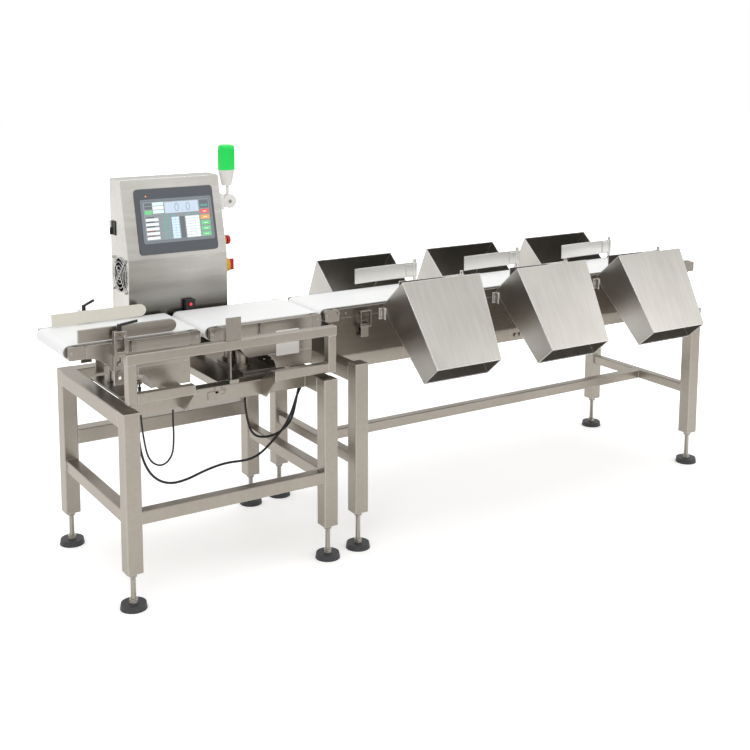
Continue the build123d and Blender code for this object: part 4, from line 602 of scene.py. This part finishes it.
# %% Two helpers for trees
def new_tree(name, sizes):
    """A Geometry Nodes tree with a geometry input and named sizes."""
    tree = bpy.data.node_groups.new(name, "GeometryNodeTree")
    tree.interface.new_socket("Geometry", in_out="INPUT", socket_type="NodeSocketGeometry")
    for size in sizes:
        tree.interface.new_socket(size, in_out="INPUT", socket_type="NodeSocketFloat")
    tree.interface.new_socket("Geometry", in_out="OUTPUT", socket_type="NodeSocketGeometry")
    return tree, add(tree, "NodeGroupInput")


def grow(name, bm, tree, sizes, body=MACHINE, turns=()):
    """Runs a tree over a bmesh, each point with its turn, and keeps the result as a plain mesh on a body."""
    mesh = bpy.data.meshes.new(name + "_points")
    bm.to_mesh(mesh)
    bm.free()
    if turns:
        layer = mesh.attributes.new("turn", "FLOAT_VECTOR", "POINT")
        for at, value in zip(layer.data, turns):
            at.vector = value
    seed = in_scene(name + "_seed", mesh)
    modifier = seed.modifiers.new("grow", "NODES")
    modifier.node_group = tree
    for item in tree.interface.items_tree:
        if item.in_out == "INPUT" and item.name in sizes:
            modifier[item.identifier] = sizes[item.name]
    bpy.context.view_layer.update()
    grown = bpy.data.meshes.new_from_object(seed.evaluated_get(bpy.context.evaluated_depsgraph_get()))
    grown.name = name
    seed.modifiers.remove(modifier)
    bpy.data.objects.remove(seed)
    piece = in_scene(name, grown)
    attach(piece, body)
    print(name, len(grown.polygons), "faces on", body)
    return piece


# %% [markdown]
# ## The screw tree
# A button head is a low skirt with a cone on it, each half of its height. Both are cheap primitives of sixteen
# sides, because a head is only a few pixels wide.

# %% The screw tree
head_sides = 16
crown_share = 0.62          # of the skirt's radius
screw_tree, given = new_tree("button_head_screws", ("Head radius", "Head height"))
skirt = add(screw_tree, "GeometryNodeMeshCylinder", {"Vertices": head_sides}, {"Radius": given.outputs[1]})
half_height = add(screw_tree, "ShaderNodeMath", {1: 0.5}, {0: given.outputs[2]}, operation="MULTIPLY")
screw_tree.links.new(half_height.outputs[0], skirt.inputs["Depth"])
crown_r = add(screw_tree, "ShaderNodeMath", {1: crown_share}, {0: given.outputs[1]}, operation="MULTIPLY")
crown = add(screw_tree, "GeometryNodeMeshCone", {"Vertices": head_sides},
            {"Radius Bottom": given.outputs[1], "Radius Top": crown_r.outputs[0],
             "Depth": half_height.outputs[0]})
quarter = add(screw_tree, "ShaderNodeMath", {1: 0.25}, {0: given.outputs[2]}, operation="MULTIPLY")
lift_skirt = add(screw_tree, "ShaderNodeCombineXYZ", links={"Z": quarter.outputs[0]})
lift_crown = add(screw_tree, "ShaderNodeCombineXYZ", links={"Z": half_height.outputs[0]})
low_part = add(screw_tree, "GeometryNodeTransform", links={"Geometry": skirt.outputs[0],
                                                           "Translation": lift_skirt.outputs[0]})
high_part = add(screw_tree, "GeometryNodeTransform", links={"Geometry": crown.outputs[0],
                                                            "Translation": lift_crown.outputs[0]})
head = add(screw_tree, "GeometryNodeJoinGeometry")
screw_tree.links.new(low_part.outputs[0], head.inputs[0])
screw_tree.links.new(high_part.outputs[0], head.inputs[0])
turn = add(screw_tree, "GeometryNodeInputNamedAttribute", {"Name": "turn"}, data_type="FLOAT_VECTOR")
as_rotation = add(screw_tree, "FunctionNodeEulerToRotation", links={0: turn.outputs[0]})
placed = add(screw_tree, "GeometryNodeInstanceOnPoints", links={
    "Points": given.outputs[0], "Instance": head.outputs[0], "Rotation": as_rotation.outputs[0]})
real = add(screw_tree, "GeometryNodeRealizeInstances", links={0: placed.outputs[0]})
coated = add(screw_tree, "GeometryNodeSetMaterial", {"Material": steel_small}, {"Geometry": real.outputs[0]})
add(screw_tree, "NodeGroupOutput", links={0: coated.outputs[0]})


def screws(name, places, radius, height):
    """Screws at (place in millimetres, direction it faces)."""
    bm = bmesh.new()
    for spot, facing in places:
        bm.verts.new(Vector(spot) * MM)
    grow(name, bm, screw_tree, {"Head radius": radius * MM, "Head height": height * MM},
         turns=[Vector(facing).to_track_quat("Z", "Y").to_euler() for spot, facing in places])


# %% [markdown]
# ## Where the screws are
# The chutes hang on tabs with two screws on each side, the fan has four, and the long side panels and the trays
# have theirs in rows. Loops place what repeats; the others are listed by their places in millimetres.

# %% Where the screws are
front, rear, left = (0, -1, 0), (0, 1, 0), (-1, 0, 0)
panel_y, panel_face, tray_face = 130.0, 0.2, -160.2
lanes, tab_edges, tab_rows, tab_face = (0, 490, 980), (-6.5, 331.5), (732, 755), 3.2
fan_x, fan_y, fan_z, fan_corner = -1006.2, 205.0, 903.0, 52.5
screws("chute_tab_screws", [((x0 + lane + edge, side * (panel_y + tab_face), z), (0, side, 0))
                            for side, x0 in ((-1, -200), (1, -237)) for lane in lanes
                            for edge in tab_edges for z in tab_rows], radius=3.2, height=2.2)
screws("fan_screws", [((fan_x, fan_y + a * fan_corner, fan_z + b * fan_corner), left)
                      for a in (-1, 1) for b in (-1, 1)], radius=4.0, height=3.0)
screws("panel_screws", [((x, -panel_y - panel_face, 760), front) for x in (-345, 70, 100, 560, 590, 1050, 1080)]
       + [((x, panel_y + panel_face, 760), rear) for x in (-345, 60, 560, 1050)], radius=3.4, height=2.2)
tray_places = ((-1076, 676), (-1050, 678), (-668, 655), (-640, 652))
screws("tray_screws", [((x, tray_face, z), front) for x, z in tray_places], radius=2.6, height=1.6)
screws("reflector_screws", [((-834, -285.2, z), front) for z in (779, 822)], radius=2.8, height=1.8)

# %% [markdown]
# ## The beacon's lens
# The lens is a green cup with fine upright ribs that spread the lamp's light. The cup is turned on a lathe
# profile; the ribs repeat round it, so a second tree stands a thin bar on each point of a circle.

# %% The rib tree
beacon_x, beacon_y, rib_middle = -618.0, 200.0, 1266.0
rib_sizes = {"Ribs": 36.0, "Circle radius": 27.7 * MM, "Rib radius": 1.1 * MM, "Rib height": 62 * MM}
rib_tree, given = new_tree("lens_ribs", rib_sizes)
count = add(rib_tree, "FunctionNodeFloatToInt", links={0: given.outputs[1]})
circle = add(rib_tree, "GeometryNodeMeshCircle", links={"Vertices": count.outputs[0],
                                                        "Radius": given.outputs[2]})
bar = add(rib_tree, "GeometryNodeMeshCylinder", {"Vertices": 8}, {"Radius": given.outputs[3],
                                                                  "Depth": given.outputs[4]})
stand = add(rib_tree, "GeometryNodeInstanceOnPoints", links={"Points": circle.outputs[0],
                                                             "Instance": bar.outputs[0]})
moved = add(rib_tree, "GeometryNodeTransform",
            {"Translation": (beacon_x * MM, beacon_y * MM, rib_middle * MM)}, {"Geometry": stand.outputs[0]})
both = add(rib_tree, "GeometryNodeJoinGeometry")
rib_tree.links.new(given.outputs[0], both.inputs[0])
rib_tree.links.new(moved.outputs[0], both.inputs[0])
real = add(rib_tree, "GeometryNodeRealizeInstances", links={0: both.outputs[0]})
coated = add(rib_tree, "GeometryNodeSetMaterial", {"Material": green_lens}, {"Geometry": real.outputs[0]})
add(rib_tree, "NodeGroupOutput", links={0: coated.outputs[0]})

# %% The cup and its ribs
cup = [(0, 1229.4), (29.6, 1229.4), (29.6, 1233), (28.2, 1234.5), (27.6, 1270), (27.2, 1298), (28.4, 1299.5),
       (28.2, 1304), (26.5, 1310), (21, 1313.6), (0, 1314.6)]
bm = bmesh.new()
turned(bm, Matrix.Translation((beacon_x * MM, beacon_y * MM, 0)), cup, segments=56)
bmesh.ops.recalc_face_normals(bm, faces=bm.faces)
lens = grow("ribbed_lens", bm, rib_tree, rib_sizes, "beacon")
lens.data.shade_smooth()
lens.data.set_sharp_from_angle(angle=math.radians(35))
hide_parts("beacon_lens")

# %% [markdown]
# ## Small plates and fittings
# A bare white plate on the weighing tray, the sensor's lamp, the hub screw of the beacon, an angle bracket and
# a cable clip on the front beam, and the plate behind the fan. They are thin things, so the helpers for plates
# and turned parts are enough; all but the hub screw stay with the machine, and that one turns with the beacon.

# %% Sign plate, lamp and hub screw
def fitting(name, matrix, profile, segments, material, body=MACHINE):
    """One turned piece with a soft crown."""
    bm = bmesh.new()
    turned(bm, matrix, profile, segments)
    finish_mesh(name, bm, material, body, smooth=40)


bm = bmesh.new()
plate(bm, on_front(-582, tray_face, 700.5), width=84, height=83, thick=0.8, corner=3)
finish_mesh("bare_sign_plate", bm, white_abs)
fitting("sensor_lamp", on_front(-796, 113, 798), [(0, 0), (4.6, 0), (4.6, 1), (3, 2.2), (0, 2.6)], 20,
        lit("red_lamp", "#ff2a3a", strength=1.2))
fitting("beacon_hub_screw", on_front(-612, 186.8, 1121), [(0, 0), (6, 0), (6, 1), (4.5, 2.2), (0, 2.6)], 24,
        steel_small, "beacon")

# %% Angle, clip and the plate behind the fan
beam_face = -190.2
bm = bmesh.new()
plate(bm, on_front(-862, beam_face, 573), width=34, height=26, thick=2.5, corner=1.5)
plate(bm, on_front(-846, beam_face, 590), width=18, height=22, thick=2.5, corner=1.5)
finish_mesh("beam_angle", bm, steel_small)
fitting("cable_clip", on_front(-830, beam_face, 585), [(0, 0), (11, 0), (11, 3), (8, 5), (0, 5.4)], 28,
        steel_small)
fan_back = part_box("fan_rotor")[1][0] + 5 * MM
fitting("fan_rear_plate",
        Matrix.Translation((fan_back, fan_y * MM, fan_z * MM)) @ Matrix.Rotation(math.radians(-90), 4, "Y"),
        [(0, 0), (56, 0), (57, 1), (57, 3), (0, 3)], 40, black_nylon)

# %% [markdown]
# ## Strain reliefs
# Each cable leaves its housing through a gland with a tapered rubber sleeve, which spreads the bend over its
# length so that the sheath doesn't crack at the edge.

# %% Strain reliefs
sleeve_drop = 32            # from the cable's end down to the thin end of its sleeve
for name, (radius, length, points) in routes.items():
    bm = bmesh.new()
    for x, y, z in (points[0], points[-1]):
        turned(bm, Matrix.Translation(Vector((x, y, z - sleeve_drop)) * MM),
               [(radius + 0.3, 0), (radius + 1.2, 4), (radius + 2.6, 20), (radius + 2.6, 22)], segments=24)
    finish_mesh(name + "_sleeves", bm, black_rubber, smooth=40)

# %% [markdown]
# ## The studio floor
# The product stands on white paper. Near the machine the paper is lit mostly by the lamps, so the feet keep
# their soft shadows; further out it glows for the camera, up to the pure white of the backdrop, and no edge of
# it shows. Steel shows what is around it, and a room is not white all over. So a mirror or a lens sees only a
# weak glow of the paper, and round the photographer's feet it sees the darker floor of a workshop, which gives
# the upright steel faces the grey that they have in a real hall.

# %% Floor
floor_half = 20
white_from, white_at, near_glow = 1.4, 3.2, 0.30                    # metres from the middle, and the glow there
mirror_glow = 0.26
paper_end, shop_near, shop_far, shop_wall = -2.9, -3.6, -4.8, -5.8  # Y of the workshop floor and its fades
bm = bmesh.new()
bmesh.ops.create_grid(bm, x_segments=1, y_segments=1, size=floor_half)
floor_mesh = bpy.data.meshes.new("studio_floor")
bm.to_mesh(floor_mesh)
bm.free()
floor = in_scene("studio_floor", floor_mesh)
floor_finish, tree, shader, place = new_material("studio_paper")
paper = add(tree, "ShaderNodeTexNoise", {"Scale": 3.0}, {"Vector": place})
tone = add(tree, "ShaderNodeMix", {6: srgb("#f7f7f6"), 7: srgb("#fbfbfb")}, {0: paper.outputs[0]},
           data_type="RGBA")
depth = add(tree, "ShaderNodeSeparateXYZ", links={0: place}).outputs[1]
off_paper = add(tree, "ShaderNodeMapRange", {1: paper_end, 2: shop_near}, {0: depth})
off_wall = add(tree, "ShaderNodeMapRange", {1: shop_wall, 2: shop_far}, {0: depth})
workshop = add(tree, "ShaderNodeMath", links={0: off_paper.outputs[0], 1: off_wall.outputs[0]},
               operation="MULTIPLY")
ground = add(tree, "ShaderNodeMix", {7: srgb("#5c5853")}, {0: workshop.outputs[0], 6: tone.outputs[2]},
             data_type="RGBA")
tree.links.new(ground.outputs[2], shader.inputs["Base Color"])
shader.inputs["Roughness"].default_value = 0.9
shader.inputs["Specular IOR Level"].default_value = 0.0
away = add(tree, "ShaderNodeVectorMath", links={0: place}, operation="LENGTH")
lift = add(tree, "ShaderNodeMapRange", {1: white_from, 2: white_at, 3: near_glow, 4: 1.0},
           {0: away.outputs["Value"]})
rays = add(tree, "ShaderNodeLightPath")
mirrored = add(tree, "ShaderNodeMath", operation="MAXIMUM",
               links={0: rays.outputs["Is Glossy Ray"], 1: rays.outputs["Is Transmission Ray"]})
paper_left = add(tree, "ShaderNodeMath", {0: 1.0}, {1: workshop.outputs[0]}, operation="SUBTRACT")
mirror_lift = add(tree, "ShaderNodeMath", links={0: paper_left.outputs[0], 1: mirrored.outputs[0]},
                  operation="MULTIPLY")
mirror_part = add(tree, "ShaderNodeMath", {1: mirror_glow}, {0: mirror_lift.outputs[0]}, operation="MULTIPLY")
camera_part = add(tree, "ShaderNodeMath", links={0: rays.outputs["Is Camera Ray"], 1: lift.outputs[0]},
                  operation="MULTIPLY")
glow = add(tree, "ShaderNodeMath", operation="ADD",
           links={0: camera_part.outputs[0], 1: mirror_part.outputs[0]})
shader.inputs["Emission Color"].default_value = (1, 1, 1, 1)
tree.links.new(glow.outputs[0], shader.inputs["Emission Strength"])
floor.data.materials.append(floor_finish)
print("floor", 2 * floor_half, "m wide, white from", white_at, "m on")

# %% [markdown]
# ## The world
# Above the floor stands a soft tent of light. It is a little weaker at the horizon than above, which gives
# upright steel a gentle fall from top to bottom. The camera itself sees pure white.

# %% World
horizon, overhead, horizon_light = -0.05, 0.40, 0.60        # Z of the direction, and the light at its lower end
world = bpy.data.worlds.new("studio")
scene.world = world
world.use_nodes = True
tree = world.node_tree
tree.nodes.clear()
direction = add(tree, "ShaderNodeTexCoord").outputs["Generated"]
upness = add(tree, "ShaderNodeSeparateXYZ", links={0: direction}).outputs[2]
ramp = add(tree, "ShaderNodeMapRange", {1: horizon, 2: overhead, 3: horizon_light, 4: 1.0}, {0: upness})
soft = add(tree, "ShaderNodeBackground", {0: (1, 0.995, 0.985, 1)}, {1: ramp.outputs[0]})
white = add(tree, "ShaderNodeBackground", {0: (1, 1, 1, 1), 1: 1.0})
rays = add(tree, "ShaderNodeLightPath")
shown = add(tree, "ShaderNodeMixShader", links={0: rays.outputs["Is Camera Ray"], 1: soft.outputs[0],
                                                2: white.outputs[0]})
add(tree, "ShaderNodeOutputWorld", links={"Surface": shown.outputs[0]})
print("world", horizon_light, "to 1.0")

# %% [markdown]
# ## The lamps
# Three soft boxes stand where a product photographer puts them: a large key light at the front left, a weaker
# fill at the front right and a top light just behind the machine, which draws a bright line along its edges.

# %% Lights
def area_light(name, location, target, size, power):
    """A soft box that looks at a point."""
    data = bpy.data.lights.new(name, "AREA")
    data.shape = "RECTANGLE"
    data.size, data.size_y = size
    data.energy = power
    lamp = in_scene(name, data)
    lamp.location = location
    lamp.rotation_euler = (Vector(target) - Vector(location)).to_track_quat("-Z", "Y").to_euler()
    print(name, power, "W")


area_light("key_box", (-3.2, -3.6, 3.8), (-0.2, 0, 0.6), (2.6, 2.0), power=30)
area_light("fill_box", (3.6, -3.2, 2.4), (0.4, 0, 0.6), (2.0, 2.0), power=16)
area_light("top_box", (0, 0.8, 4.2), (0, 0, 0.5), (3.5, 2.0), power=20)
scene.view_settings.view_transform = "Standard"
